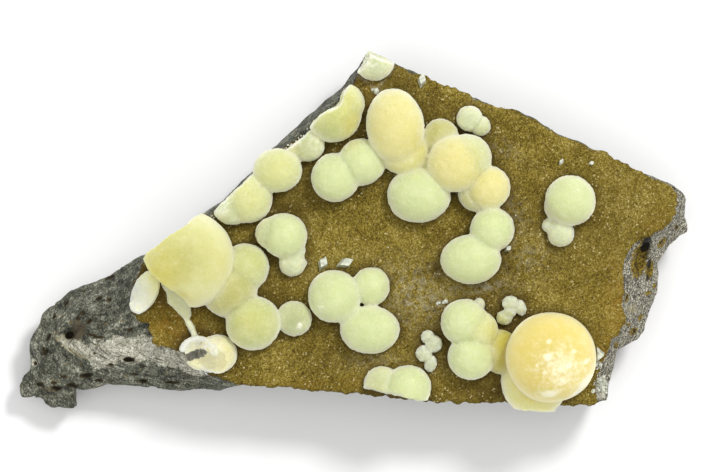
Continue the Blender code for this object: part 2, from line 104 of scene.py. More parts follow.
# Lengths and widths of patches and crystals are halves of the whole, and turns are in degrees
Ball = namedtuple("Ball", "x y radius rise tint breaks turn", defaults=((), 0))
Break = namedtuple("Break", "x y bearing lean rise crust", defaults=(0, 1))
Patch = namedtuple("Patch", "x y length width turn strength", defaults=(0, 1))
Crystal = namedtuple("Crystal", "node x y length width height turn sides", defaults=(4,))
Tint = namedtuple("Tint", "crown flank skin", defaults=(1,))
Sizes = namedtuple("Sizes", "least spread rarity")
Light = namedtuple("Light", "name place width power")


def patches(*rows):
    return tuple(Patch(*row) for row in rows)


# Colours of the calcite as it is seen, on a ball's crown and down its flank, and how sugary its skin is,
# which also sets how strong its painted rim light is. A part over 255 makes up for a face that turns
# away from the light
TINTS = {
    "green": Tint((230, 239, 182), (202, 211, 154)),
    "dull_lime": Tint((205, 202, 126), (186, 184, 116)),
    "olive": Tint((200, 196, 118), (182, 178, 106)),
    "lime": Tint((218, 221, 150), (190, 195, 130)),
    "lemon": Tint((233, 233, 162), (204, 208, 148)),
    "yellow": Tint((245, 235, 162), (220, 213, 142)),
    "deep_yellow": Tint((238, 230, 142), (204, 198, 108), 0.7),
    "butter": Tint((255, 246, 156), (224, 222, 156)),
    "orange": Tint((239, 220, 124), (236, 218, 130), 0.25),
    "honey": Tint((214, 212, 134), (226, 224, 162), 0.6),
    "glass": Tint((196, 202, 152), (196, 201, 152)),
    "pale": Tint((208, 213, 160), (212, 216, 172)),
    # A deep yellow lobe, painted darker as the shade between its neighbours
    "shaded_amber": Tint((184, 170, 12), (168, 156, 24), 0.15),
    "milk": Tint((212, 219, 180), (216, 220, 182)),
    "frost": Tint((197, 203, 174), (216, 220, 196), 0.4),
    "ivory": Tint((296, 300, 264), (264, 264, 214), 0.6),
    "shell": Tint((226, 226, 222), (222, 222, 216)),
    "cream": Tint((240, 232, 172), (224, 218, 168)),
}

# Broken faces of the calcite: a point, the way it faces, how far it leans up, the point's height
# over the lining where that isn't 0, and how much white crust it has where that isn't 1
UPPER_LEFT_EDGE = Break(-23.6, -0.4, 128, -3, 0, 0)
CHIPPED_SIDE = Break(-24.95, -6.85, 221, -4, 0, 0)
UPPER_LEFT_STRIP = Break(-16.5, 5.0, 135, 3)
UPPER_STRIP = Break(-5.5, 14.8, 135, 2)
TOP_CORNER = Break(2.9, 23.6, 67, 8)
TOP_LEFT_CORNER = Break(0.8, 22.1, 149, 10)
BOTTOM_EDGE = Break(5.6, -22.0, 256, 3, 0, 0.35)
LOWER_EDGE = Break(24.0, -24.0, 270, 3, 0, 0.6)
HALF_BALL_FACE = Break(-28.2, -8.2, 158, 62, 1.2, 0)
LOWER_LEFT_FACE = Break(-19.7, -17.5, 230, 52, 1.6, 0)
STUB_TOP = Break(-21.3, -15.9, 225, 80, 1.0, 0.1)

# The white rim of the broken stub at the lower left: x, y, rise and turn
STUB_RIM_RADII = (0.55, 0.45, 0.5)
STUB_RIM = (
    (-23.0, -15.7, 0.7, 60), (-22.75, -15.3, 0.8, 50), (-22.4, -14.95, 0.9, 40),
    (-22.0, -14.7, 1.0, 30), (-21.5, -14.5, 1.1, 15), (-21.0, -14.4, 1.2, 5),
    (-20.5, -14.45, 1.4, -10), (-20.05, -14.6, 1.8, -20), (-19.7, -14.85, 2.3, -30),
    (-19.35, -15.2, 2.7, -40), (-19.0, -15.6, 3.0, -50), (-18.7, -16.1, 3.2, -60),
)

# The balls of each cluster. rise is the height of a ball's centre over the lining
CLUSTERS = {
    "left_ball_cluster": (
        Ball(-22.67, -3.86, 6.6, 3.2, "honey", (UPPER_LEFT_EDGE, CHIPPED_SIDE)),
        Ball(-14.7, -4.9, 3.25, 1.3, "lime"), Ball(-16.8, -7.8, 3.85, 1.4, "dull_lime"),
        Ball(-13.6, -12.3, 3.7, 2.0, "lime"), Ball(-8.1, -11.75, 2.35, 1.0, "glass"),
    ),
    "broken_half_ball": (
        Ball(-28.2, -8.2, (1.78, 2.95, 2.3), 0.9, "ivory", (HALF_BALL_FACE,), -25),
    ),
    "broken_lower_left_ball": (
        Ball(-18.4, -16.45, 2.6, 0.9, "cream", (LOWER_LEFT_FACE,)),
        Ball(-20.9, -16.2, (1.9, 1.8, 1.6), 0.3, "cream", (STUB_TOP,)),
        Ball(-20.3, -17.9, (2.3, 1.0, 1.0), 0.0, "cream", (), -12),
        *(Ball(x, y, STUB_RIM_RADII, rise, "shell", (), turn) for x, y, rise, turn in STUB_RIM),
    ),
    "lobed_ball": (
        Ball(-9.4, -0.6, 3.05, 1.9, "green"), Ball(-11.1, -0.3, 2.15, 2.0, "glass"),
        Ball(-8.6, -2.5, 2.0, 0.9, "green"), Ball(-8.4, -4.3, 1.8, 0.9, "milk"),
        Ball(-6.75, -4.3, 0.45, 0.6, "milk"),
    ),
    "upper_left_edge_balls": (
        Ball(-14.4, 4.5, 3.45, 1.2, "lemon", (UPPER_LEFT_STRIP,)),
        Ball(-16.3, 3.75, 2.9, 1.0, "milk", (UPPER_LEFT_STRIP,)),
        Ball(-10.3, 8.1, (3.25, 2.95, 3.1), 2.0, "lemon"),
        Ball(-8.1, 10.6, 1.6, 0.7, "olive", (UPPER_STRIP,)),
        Ball(-6.3, 11.5, 2.2, 0.8, "glass", (UPPER_STRIP,)),
        Ball(-2.8, 15.6, 3.7, 1.8, "lime", (UPPER_STRIP,)),
        Ball(-1.4, 17.1, 2.7, 1.8, "lemon", (UPPER_STRIP,)),
        Ball(-5.35, 11.8, 0.7, 2.3, "milk"), Ball(-4.65, 11.2, (0.5, 0.75, 0.6), 1.7, "milk"),
    ),
    "upper_ball_cluster": (
        Ball(-2.6, 7.2, 3.25, 1.8, "green"), Ball(0.9, 9.2, 3.15, 1.7, "green"),
        Ball(5.45, 14.0, (3.9, 5.0, 4.4), 3.2, "yellow", (), 8), Ball(6.5, 10.9, 3.3, 1.9, "deep_yellow"),
        Ball(11.5, 12.7, 2.4, 1.2, "olive"), Ball(13.5, 9.0, 3.8, 3.0, "yellow"),
        Ball(15.1, 9.7, 3.25, 2.5, "lime"), Ball(17.9, 5.8, 2.95, 2.4, "yellow"),
        Ball(16.5, 5.2, 2.65, 1.3, "dull_lime"), Ball(8.6, 4.8, (4.2, 3.7, 3.7), 1.8, "green"),
        Ball(18.4, 0.2, 3.0, 1.8, "green"), Ball(15.6, -3.8, (4.1, 3.35, 3.5), 1.8, "green"),
        Ball(9.6, 9.3, 1.6, 0.9, "deep_yellow"),
    ),
    "centre_ball_cluster": (
        Ball(-2.7, -8.8, 3.55, 2.1, "green"), Ball(2.2, -7.4, 2.6, 1.2, "green"),
        Ball(2.0, -13.2, (4.05, 3.2, 3.3), 1.7, "green"),
    ),
    "bottom_edge_balls": (
        Ball(3.6, -20.6, 2.4, 0.9, "pale", (BOTTOM_EDGE,)),
        Ball(7.2, -21.1, 3.05, 1.4, "green", (BOTTOM_EDGE,)),
    ),
    "lower_right_cluster": (
        Ball(26.2, -16.9, 6.08, 4.7, "orange"),
        Ball(24.2, -20.2, (4.6, 4.5, 3.4), 1.0, "butter", (LOWER_EDGE,)),
        Ball(14.7, -12.3, 3.2, 1.9, "green"), Ball(16.4, -13.3, 2.75, 1.9, "lemon"),
        Ball(15.6, -16.8, 3.2, 1.9, "green"), Ball(19.6, -16.2, (2.6, 3.0, 2.6), 0.9, "shaded_amber"),
        Ball(16.7, -9.9, (0.85, 1.0, 0.85), 0.5, "milk"),
    ),
    "right_pair": (
        Ball(28.9, 4.1, 3.38, 2.0, "green"), Ball(27.7, 3.3, 2.35, 1.0, "glass"),
        Ball(27.6, -0.3, 1.78, 0.9, "milk"), Ball(26.1, 0.8, 1.05, 0.5, "milk"),
    ),
    "top_right_pair": (
        Ball(15.4, 15.15, 1.75, 0.7, "milk"), Ball(16.9, 14.1, 1.3, 0.6, "glass"),
    ),
    "top_corner_half_ball": (
        Ball(2.6, 22.9, 2.7, 0.8, "milk", (TOP_CORNER, TOP_LEFT_CORNER)),
    ),
    "small_balls_left": (
        Ball(9.8, -14.2, 1.15, 0.5, "frost"), Ball(10.6, -15.1, 1.4, 0.6, "frost"),
        Ball(9.3, -16.4, 1.3, 0.4, "frost"), Ball(10.2, -17.8, (0.95, 1.3, 0.9), 0.4, "frost", (), -15),
    ),
    "small_balls_right": (
        Ball(20.9, -9.7, (1.35, 1.25, 1.1), 0.5, "frost"),
        Ball(20.1, -11.6, (1.35, 1.2, 1.0), 0.4, "glass"), Ball(20.8, -10.8, 1.05, 0.5, "frost"),
        Ball(22.25, -10.3, (0.95, 1.35, 0.95), 0.4, "frost", (), 15),
    ),
}
SMALL_CLUSTERS = (
    "small_balls_left", "small_balls_right", "top_right_pair", "broken_half_ball",
    "broken_lower_left_ball", "top_corner_half_ball",
)
FACETED_CLUSTERS = ("small_balls_left", "small_balls_right")
SLOTS = {
    "left_ball_cluster": "calcite_yellow",
    "upper_left_edge_balls": "calcite_yellow",
    "upper_ball_cluster": "calcite_yellow",
    "lower_right_cluster": "calcite_orange",
    "broken_half_ball": "calcite_white",
    "broken_lower_left_ball": "calcite_white",
    "top_corner_half_ball": "calcite_white",
}

# Single crystals lying on the lining, each a tapered block that leans, with bevelled edges
CRYSTAL_FOOT = 0.54
CRYSTAL_TOP = 0.38
CRYSTAL_LEAN = 9
CRYSTAL_BEVEL = 0.04
CRYSTALS = (
    Crystal("top_crystal", 9.0, 20.1, 2.1, 1.3, 0.9, 80),
    Crystal("pointed_crystal", -4.3, -4.45, 2.2, 1.5, 1.0, 66),
    Crystal("long_crystal", -1.35, -4.3, 2.6, 1.5, 1.0, 22),
    Crystal("edge_crystal", 20.5, -2.4, 1.2, 0.9, 0.9, 40),
    Crystal("right_crystal", 32.85, -16.4, 2.2, 1.6, 0.7, -90, 3),
    Crystal("small_crystal", 27.7, 9.2, 1.1, 0.75, 0.7, 65),
    Crystal("far_crystal", 31.7, 9.1, 0.9, 0.8, 0.7, 20),
)

# Loose crumbs of calcite: x, y and half their width, and the share of it that their middle is up
CRUMB_RISE = 0.4
CRUMBS = (
    (2.9, 18.75, 0.55), (2.5, 18.95, 0.35), (11.9, -9.6, 0.22), (-14.9, -15.4, 0.12),
    (4.5, -2.2, 0.12), (21.6, 2.1, 0.14),
)

# Patches of rough white crust: x, y, half length, half width, number of crumbs
CRUMB_PATCH_SIZES = Sizes(0.08, 0.28, 3)
CRUMB_PATCH_SPREAD = 0.5
CRUMB_PATCHES = (
    (32.9, -20.6, 0.85, 1.2, 62), (32.6, -17.9, 0.45, 0.5, 25), (11.6, -9.7, 0.5, 0.25, 8),
    (-20.2, -18.9, 1.5, 0.3, 16),
)

# Where the calcite's torn edge has crumbled along the upper left of the slab
CRUMBLED_EDGE = (
    (-9.3, 10.9), (-7.9, 12.0), (-6.6, 12.7), (-5.2, 14.0), (-4.1, 15.2), (-3.1, 16.0), (-2.2, 16.9),
    (-1.3, 18.2),
)
CRUMBLED_END = ((-19.0, 1.6), (-17.9, 2.7), (-17.3, 3.6), (-16.6, 4.4))
EDGE_CRUMB_COUNT = 80
END_CRUMB_COUNT = 30
EDGE_CRUMB_SIZES = Sizes(0.06, 0.16, 2)
EDGE_CRUMB_SPREAD = 0.18
EDGE_CRUMB_RISE = 0.7

# The low sliver of a broken ball, below the large one on the left
SLIVER_OUTLINE = (
    (-25.95, -7.1), (-25.3, -8.35), (-24.95, -9.7), (-23.8, -10.8), (-22.8, -11.95), (-22.3, -13.05),
    (-21.8, -14.2), (-21.0, -14.2), (-21.5, -12.95), (-22.25, -11.75), (-21.95, -11.4),
    (-22.0, -10.6), (-22.2, -9.9), (-22.9, -8.5), (-24.0, -7.3), (-25.2, -6.9),
)
SLIVER_HEIGHT = 1.0
SLIVER_COLOUR = (216, 218, 178)
SLIVER_VALUES = {"flank": 0.6, "skin": 1.0, "crust": 0.2, "stain": 0.0, "chalk": 0.0}

# The lining covers the slab's rim on the sides that face these ways, and reaches this far past it
UPPER_RIGHT = (0.389, 0.921)
BOTTOM = (0.0, -1.0)
RIM_OVERHANGS = (0.4, 0.75)

# Low swellings of the lining over what it has grown across, with their heights as strengths
SWELLING_STEEPNESS = 1.5
LINING_SWELLINGS = patches(
    (-9.4, -16.0, 2.2, 1.8, 30, 0.5), (-11.8, -17.2, 1.8, 1.4, 0, 0.45),
    (-7.0, -15.2, 1.6, 1.5, 0, 0.4), (5.4, -8.6, 1.3, 1.3, 0, 0.6), (10.1, -15.9, 2.4, 2.0, 0, 0.25),
    (22.5, -4.6, 1.6, 1.3, 0, 0.3), (20.6, 4.1, 2.2, 1.5, 60, 0.3), (12.2, -10.4, 2.6, 1.2, 10, 0.25),
    (-13.0, -16.4, 2.0, 1.6, 0, 0.35), (6.6, -9.9, 1.4, 1.2, 0, 0.3),
)

# Greyish, dark and rusty parts of the lining. Of the dark ones, the patch at the bottom edge beside the
# lower right cluster is painted shade
HAZE = patches(
    (15.5, -7.6, 5.6, 0.9, 3, 0.9), (23.0, -3.6, 3.4, 3.0, 0, 0.35), (8.4, -8.6, 7.0, 4.0, -10, 0.6),
    (21.0, 2.0, 2.0, 4.0, 30, 0.4), (2.0, 19.8, 2.4, 0.3, -38, 1.6), (4.2, 20.6, 1.4, 0.25, 50, 1.5),
    (11.6, -9.6, 1.5, 1.0, 20, 0.7), (20.0, 11.0, 3.0, 1.2, -30, 0.3), (2.8, -17.4, 3.6, 1.2, 0, 0.5),
    (7.7, -9.9, 0.7, 0.4, 0, 1.3), (5.6, -12.0, 3.0, 2.0, 0, 0.4),
)
DEEP = patches(
    (34.0, 1.0, 9.0, 9.0, 0, 0.5), (-8.0, 3.2, 4.2, 2.6, 30), (-6.6, 10.0, 2.6, 1.4, 45),
    (17.6, -21.5, 5.0, 1.8, 0, 1.3), (11.5, 6.0, 3.0, 2.2, 40, 0.7), (-10.5, -8.2, 2.0, 1.6, 0, 0.9),
    (7.0, 20.0, 3.0, 2.4, 0, 0.6), (21.0, -13.0, 1.6, 3.0, 0, 0.7), (12.4, -17.0, 1.2, 3.0, 0, 0.7),
    (-4.0, -17.5, 4.0, 2.0, 0, 0.5), (10.9, -5.2, 0.9, 1.1, 0, 1.1), (10.4, 16.8, 1.5, 1.2, 0, 0.8),
)
RUST = patches(
    (-24.4, -12.4, 3.6, 3.4, 0, 0.9), (-25.8, -9.6, 2.0, 3.2, 0, 0.8), (35.2, -9.5, 1.8, 5.5, 0, 0.7),
    (33.6, -15.6, 1.6, 2.2, 0, 0.7), (2.6, 17.4, 1.6, 3.6, 20, 0.7), (40.5, 1.6, 2.2, 1.6, 30, 0.5),
    (-2.0, -20.5, 14.0, 0.8, 0, 0.4),
)

# Where pale dust, ochre layers, painted shade in pockets and lighter rock lie on the fractures
PALE_DUST = patches(
    (-30.2, -15.9, 6.4, 2.0, 3), (-25.2, -17.0, 3.6, 1.4, -12), (-33.6, -16.8, 2.6, 1.8, 20),
    (-22.0, -18.6, 2.8, 0.8, -14, 0.8), (-37.2, -15.8, 3.4, 0.8, -28, 0.9),
    (-43.3, -17.9, 0.9, 0.7, 0, 0.7), (32.9, -21.2, 1.3, 1.4, 0, 1.1),
)
OCHRE = patches(
    (-37.8, -15.6, 3.2, 1.0, -30), (-34.2, -14.6, 1.6, 0.4, 0, 0.5), (37.4, -10.6, 1.2, 0.8, 0, 0.6),
)
POCKET_SHADE = patches((-37.3, -13.3, 1.2, 1.4, -20, 1.0), (-40.9, -21.4, 3.4, 0.7, -4, 0.5))
LIGHT_ROCK = patches(
    (39.8, -8.5, 6.0, 13.0, 0, 1.6), (43.6, 2.6, 4.0, 6.0, 0, 1.6), (35.0, -19.5, 4.0, 6.0, 0, 1.6),
)

# Gas bubbles broken open on the fractures: those lined brown, the painted shade in their holes, and plain
# ones, with how full and how deep these are pressed
LINED_BUBBLES = patches(
    (38.3, -3.9, 2.5, 1.1, 78, 1.1), (39.8, -5.2, 1.5, 0.6, 82, 1.1), (43.4, 0.5, 0.4, 0.35),
    (36.6, -9.0, 0.65, 0.3, 75), (37.6, -13.5, 0.7, 0.55, 20), (41.4, -1.6, 0.9, 0.5, 50),
    (40.5, -7.4, 0.45, 0.25, 60), (39.6, -8.4, 0.6, 0.3, 30), (36.8, -12.6, 0.5, 0.3, 0, 0.8),
    (38.6, -11.6, 0.8, 0.4, 60, 0.7), (35.2, -15.4, 0.4, 0.6, 0, 0.8), (42.2, -3.4, 0.5, 0.4, 0, 0.9),
)
VOID_SHADE = patches(
    (39.2, -1.8, 1.15, 0.65, 68, 1.1), (39.7, -4.4, 0.7, 0.35, 82), (43.4, 0.5, 0.22, 0.28),
    (36.6, -8.9, 0.4, 0.14, 75), (37.7, -13.5, 0.3, 0.25, 20), (41.3, -1.5, 0.5, 0.14, 60),
    (39.5, -6.3, 0.5, 0.2, 80),
)
VESICLE_FULLNESS = 1.8
VESICLE_DEPTH = 2
VESICLES = patches(
    (-38.6, -14.1, 0.55, 0.45, 30), (-34.9, -14.2, 1.0, 0.16, -8), (-30.4, -17.3, 0.69, 0.28),
    (-36.3, -19.5, 0.8, 0.24, 5), (-28.6, -20.3, 0.49, 0.24), (-40.4, -21.3, 0.65, 0.24, -5),
    (-41.8, -16.4, 0.45, 0.3, 60), (-35.8, -12.2, 0.45, 0.21, 40), (-37.3, -11.8, 0.33, 0.21, 55),
    (-34.5, -9.1, 0.39, 0.2, 20), (-41.4, -14.4, 0.53, 0.2, 55), (-38.2, -20.9, 0.71, 0.26, -3),
    (-42.6, -20.8, 0.53, 0.2, -8), (-39.4, -19.7, 0.59, 0.18, -20), (-34.6, -20.2, 0.45, 0.15, 0),
    (-24.6, -20.4, 0.85, 0.15, 0), (-29.8, -19.3, 0.45, 0.12, 0), (-30.2, -13.3, 0.39, 0.2, 15),
    (-42.1, -16, 0.22, 0.15, 0), (-33, -6.3, 0.59, 0.2, 20), (-39, -9.8, 0.39, 0.16, 45),
    (-40.6, -11.6, 0.33, 0.16, 50),
)

# Small gas bubbles all over the rock, flattened on its sides and drawn out on top
SMALL_BUBBLE_COUNT = 260
SMALL_BUBBLE_SIZES = Sizes(0.22, 0.4, 2)
SMALL_BUBBLE_DEPTH = 0.8
SIDE_SQUASH = (1.0, 1.0, 2.0)
TOP_SQUASH = (0.7, 1.4, 1.0)

# White crust on the calcite, chalky spots and painted sheen on the balls at the lower right, a stain of
# rock on it, and painted glow and shade where it is yellower and darker
CRUST = patches(
    (-18.1, 2.3, 1.7, 0.9, 45, 1.1), (-17.0, 3.6, 1.2, 0.5, 45, 0.8), (-6.8, 12.2, 1.2, 0.4, 45, 0.45),
    (-4.9, 12.9, 1.0, 0.4, 50, 0.4), (1.7, 22.6, 0.9, 1.3, -30, 0.85), (2.6, 22.2, 1.3, 0.45, 20, 0.8),
    (-7.3, -12.6, 0.7, 0.5, 60, 1.1), (-4.6, -10.2, 1.0, 0.8, 60, 0.75),
    (-19.6, -18.9, 2.2, 0.5, -10, 0.9), (29.9, 5.5, 0.3, 0.35, 0, 0.9), (4.6, 17.2, 0.5, 0.7, 20, 0.4),
    (-13.4, 5.8, 0.5, 0.5, 0, 0.6),
)
CHALK_AND_SHEEN = patches(
    (25.8, -14.7, 0.4, 0.4, 0, 0.8), (25.6, -16.7, 0.8, 0.6, 50, 1.0), (25.2, -18.8, 0.45, 0.4, 0, 0.8),
    (27.3, -18.4, 0.9, 0.7, 0, 0.8), (28.4, -17.9, 1.1, 0.5, 10, 0.8), (27.6, -19.8, 0.8, 1.0, 0, 0.7),
    (25.9, -21.6, 1.4, 0.6, 5, 0.95), (30.8, -17.3, 0.7, 0.4, 30, 0.75),
    (30.5, -20.2, 1.7, 0.5, 55, 1.0), (29.5, -21.6, 1.1, 0.35, 35, 0.95),
    (29.1, -16.0, 0.6, 0.4, 0, 0.7), (24.2, -17.8, 0.4, 0.4, 0, 0.6), (27.4, -18.3, 3.8, 3.4, 0, 0.55),
)
STAIN = patches((-21.2, -16.5, 1.5, 0.6, 14, 1.1), (-22.3, -16.9, 1.0, 0.7, 10, 0.9))
GLOW_AND_SHADE = patches(
    (-25.6, -5.4, 2.4, 3.2, 0, 0.75), (-23.0, -9.2, 2.2, 1.2, -35, 0.5),
    (-0.2, 13.8, 1.3, 2.6, -15, 0.75), (-14.2, -12.0, 1.8, 1.6, 0, 0.25),
    (-17.4, -4.6, 1.2, 2.6, 0, 0.3), (18.9, -13.6, 1.2, 2.2, -10, 0.6), (8.4, 11.6, 1.2, 2.2, 20, 0.5),
    (16.6, 7.0, 1.6, 1.2, 0, 0.35), (-1.5, 16.8, 1.2, 2.4, -25, 0.3), (25.0, -21.6, 3.0, 1.2, 0, 0.35),
    (18.4, -11.4, 0.9, 1.6, 30, 0.4),
)
GLOW_AND_SHADE_COLOUR = (204, 194, 92)

# Waves of roughness, each by its length and height
ROCK_WAVES = ((4.0, 0.2), (1.7, 0.16), (0.8, 0.11))
HOLLOW_WAVES = ((9.0, 2.2), (3.5, 1.0))
FLOW_WAVES = ((7.0, 0.3), (2.8, 0.12))
LEDGE_WAVES = ((5.0, 0.8), (1.6, 0.2))
LINING_WAVES = ((9.0, 0.22), (3.0, 0.12), (1.3, 0.09), (0.6, 0.07))
FRAY_WAVES = ((1.5, 0.38), (0.6, 0.26))
BALL_WAVES = ((2.4, 0.08), (0.8, 0.05), (0.4, 0.07))
BROAD_WAVES = ((5.0, 0.14),)
BROKEN_WAVES = ((2.6, 0.3), (1.1, 0.16), (0.5, 0.08))
CRYSTAL_WAVES = ((0.9, 0.05), (0.3, 0.025))
SLIVER_WAVES = ((1.5, 0.2), (0.5, 0.08))

# Places where the edge of a piece is pushed out or in: where, how far in x and how far in y
PUSHES = {
    "basalt_rock": (
        (Patch(-5.6, 14.6, 6.2, 2.4, 47), -0.53, 0.53), (Patch(-38.2, -23.3, 1.5, 1.2), 0.35, -0.6),
    ),
    "brown_druse": ((Patch(39.0, -1.4, 2.2, 1.6, 30), -0.5, 0.7),),
    "left_ball_cluster": ((Patch(-23.6, -9.4, 1.9, 1.2, -40), 0.5, 0.55),),
    "upper_left_edge_balls": (
        (Patch(-2.4, 16.8, 1.6, 1.4, 47), 0.8, -0.8), (Patch(-7.3, 12.6, 2.2, 1.2, 47), 0.45, -0.45),
    ),
}

# The rock's layers show as lines round the high ground on the left, and calm its roughness there
HIGH_GROUND = ((-36.0, -14.4), (-14.0, -19.6))
LAYER_ACROSS = 0.6
LAYER_FALL = 0.8
LAYER_THICKNESS = 0.33
LAYER_LENGTH = 2.2
LEDGE_SPACING = 2.1
LEDGE_HEIGHT = 0.35
LAYERED_CALM = 0.5

# Where the layers begin and are full in x, and where the hollows in the slab's sides do in x, in
# height and in how squarely a side faces the upper right or the bottom
LAYERED_FROM = (-13.0, -19.0)
HOLLOW_FROM = (-17.0, -12.0)
HOLLOW_BELOW = (14.5, 12.0)
HOLLOW_FACING = (0.7, 0.9)

# Rock lower than this is the ground face, which stays flat to within the relief
GROUND_REACH = 0.25
GROUND_RELIEF = 0.1


class Value:
    """A shader socket that Python's operators work on, each of which adds a Math node."""

    def __init__(self, finish, socket):
        self.finish = finish
        self.socket = socket

    def math(self, operation, other):
        return self.finish.node("ShaderNodeMath", {"operation": operation}, {0: self, 1: other})

    def __add__(self, other):
        return self.math("ADD", other)

    __radd__ = __add__

    def __mul__(self, other):
        return self.math("MULTIPLY", other)

    __rmul__ = __mul__

    def __sub__(self, other):
        return self.math("SUBTRACT", other)

    def __rsub__(self, other):
        return (self * -1) + other

    def between(self, low, high):
        """0 below low and 1 above high, eased between them."""
        settings = {"interpolation_type": "SMOOTHSTEP"}
        sockets = {"Value": self, "From Min": low, "From Max": high}
        return self.finish.node("ShaderNodeMapRange", settings, sockets)


class Finish:
    """A material and the one method that makes its nodes."""

    def __init__(self, name):
        self.material = bpy.data.materials.new(name)
        self.material.use_nodes = True
        self.tree = self.material.node_tree
        self.tree.nodes.clear()
        self.place = self.node("ShaderNodeTexCoord", output="Object")

    def node(self, kind, settings=None, sockets=None, output=0):
        made = self.tree.nodes.new(kind)
        for key, value in (settings or {}).items():
            if key == "stops":
                self.set_stops(made.color_ramp, value)
            else:
                setattr(made, key, value)
        for key, value in (sockets or {}).items():
            if isinstance(value, Value):
                self.tree.links.new(value.socket, made.inputs[key])
            else:
                made.inputs[key].default_value = value
        return Value(self, made.outputs[output])

    def set_stops(self, ramp, stops):
        while len(ramp.elements) < len(stops):
            ramp.elements.new(1.0)
        for element, (position, colour) in zip(ramp.elements, stops):
            element.position = position
            element.color = linear(colour)

    def grain(self, length, along):
        """Sockets for a pattern with grains of length millimetres, or steps of the way along."""
        if along is None:
            return {"Vector": self.place, "Scale": 1 / (length * MM)}
        return {"Vector": along, "Scale": 1 / length}

    def noise(self, length, detail=2.0, roughness=0.5, along=None):
        sockets = {"Detail": detail, "Roughness": roughness, **self.grain(length, along)}
        return self.node("ShaderNodeTexNoise", None, sockets)

    def cells(self, length, output="Distance", along=None):
        """Distance from a cell's middle, or Color, which maths reads as one number for the cell."""
        return self.node("ShaderNodeTexVoronoi", None, self.grain(length, along), output)

    def attribute(self, name, output="Fac"):
        return self.node("ShaderNodeAttribute", {"attribute_name": name}, None, output)

    def ramp(self, share, *stops):
        return self.node("ShaderNodeValToRGB", {"stops": stops}, {"Fac": share}, "Color")

    def mix(self, share, first, second):
        """first where share is 0 and second where it is 1. Colours are given as they are seen."""
        sockets = {0: share, 6: colour_input(first), 7: colour_input(second)}
        return self.node("ShaderNodeMix", {"data_type": "RGBA"}, sockets, 2)

    def ragged(self, mask, waves, reach=1.0):
        """The mask with a sharp border that the waves push in and out."""
        return (mask + (waves - 0.5) * reach).between(0.36, 0.5)

    def bumps(self, *layers):
        """One bump over another, each given by its height and how many millimetres a height of 1 is."""
        under = {}
        for height, distance in layers:
            sockets = {"Height": height, "Distance": distance * MM, **under}
            under = {"Normal": self.node("ShaderNodeBump", None, sockets)}
        return under["Normal"]

    def finish(self, **sockets):
        plain = {key.replace("_", " "): value for key, value in sockets.items()}
        shader = self.node("ShaderNodeBsdfPrincipled", None, plain)
        made = self.tree.nodes.new("ShaderNodeOutputMaterial")
        self.tree.links.new(shader.socket, made.inputs["Surface"])
        return self.material


def linear(colour):
    """A colour as seen, in parts of 255, as Blender's linear colour."""
    parts = [part / 255 for part in colour]
    bent = [p / 12.92 if p <= 0.04045 else ((p + 0.055) / 1.055) ** 2.4 for p in parts]
    return (*bent, 1.0)


def colour_input(colour):
    return colour if isinstance(colour, Value) else linear(colour)


# Finishes

def calcite_finish():
    """Waxy translucent calcite with a sugary skin, white where it is broken or crusted, with chalky spots
    and painted sheen.
    """
    f = Finish("waxy_calcite")
    colour = f.attribute("tint", "Color")
    flank = f.attribute("flank")
    cloud = f.noise(1.7, 3).between(0.4, 0.75)
    colour = f.mix(cloud * 0.16, colour, (240, 240, 206))
    frost = f.noise(0.25, 5, 0.8).between(0.5, 0.66)
    colour = f.mix(frost * (0.12 * f.attribute("skin") + 0.4 * flank), colour, (243, 245, 228))
    crust = f.attribute("crust") * 0.6 + f.noise(0.45, 5, 0.8) * 1.4
    crumbs = f.mix(f.noise(0.9, 4, 0.6).between(0.25, 0.6), (222, 225, 192), (243, 244, 230))
    colour = f.mix(crust.between(0.9, 1.45) * 0.85, colour, crumbs)
    # Chalky spots and painted sheen, painted near white
    chalk = f.attribute("chalk") + f.noise(0.7, 5, 0.75) * 1.6
    colour = f.mix(chalk.between(0.85, 1.7) * 0.85, colour, (252, 246, 222))
    stain = f.ragged(f.attribute("stain"), f.noise(0.7, 4, 0.7))
    rock = f.mix(f.noise(0.3, 4).between(0.3, 0.7), (30, 30, 28), (100, 99, 95))
    colour = f.mix(stain * 0.9, colour, rock)
    normal = f.bumps((f.noise(0.9, 3), 0.05), (f.cells(0.2) + f.noise(0.16, 3), 0.05))
    return f.finish(
        Base_Color=colour, Roughness=0.8 - 0.2 * f.noise(0.4), Normal=normal,
        Subsurface_Weight=1.0, Subsurface_Radius=(1.0, 0.92, 0.55), Subsurface_Scale=2.0 * MM,
        Specular_IOR_Level=0.3, Sheen_Weight=1.0, Sheen_Roughness=0.3,
        Sheen_Tint=(1.0, 0.98, 0.8, 1.0),
    )


def crystal_finish():
    """Cloudy white calcite, smoother and glossier than the balls."""
    f = Finish("white_crystal")
    cloud = f.noise(0.6, 3).between(0.3, 0.7)
    colour = f.mix(cloud, (172, 177, 158), (222, 224, 212))
    return f.finish(
        Base_Color=colour, Roughness=0.3 + 0.1 * f.noise(0.5), Normal=f.bumps((f.noise(0.2, 3), 0.03)),
        Subsurface_Weight=0.8, Subsurface_Radius=(1.0, 0.95, 0.85), Subsurface_Scale=0.4 * MM,
    )


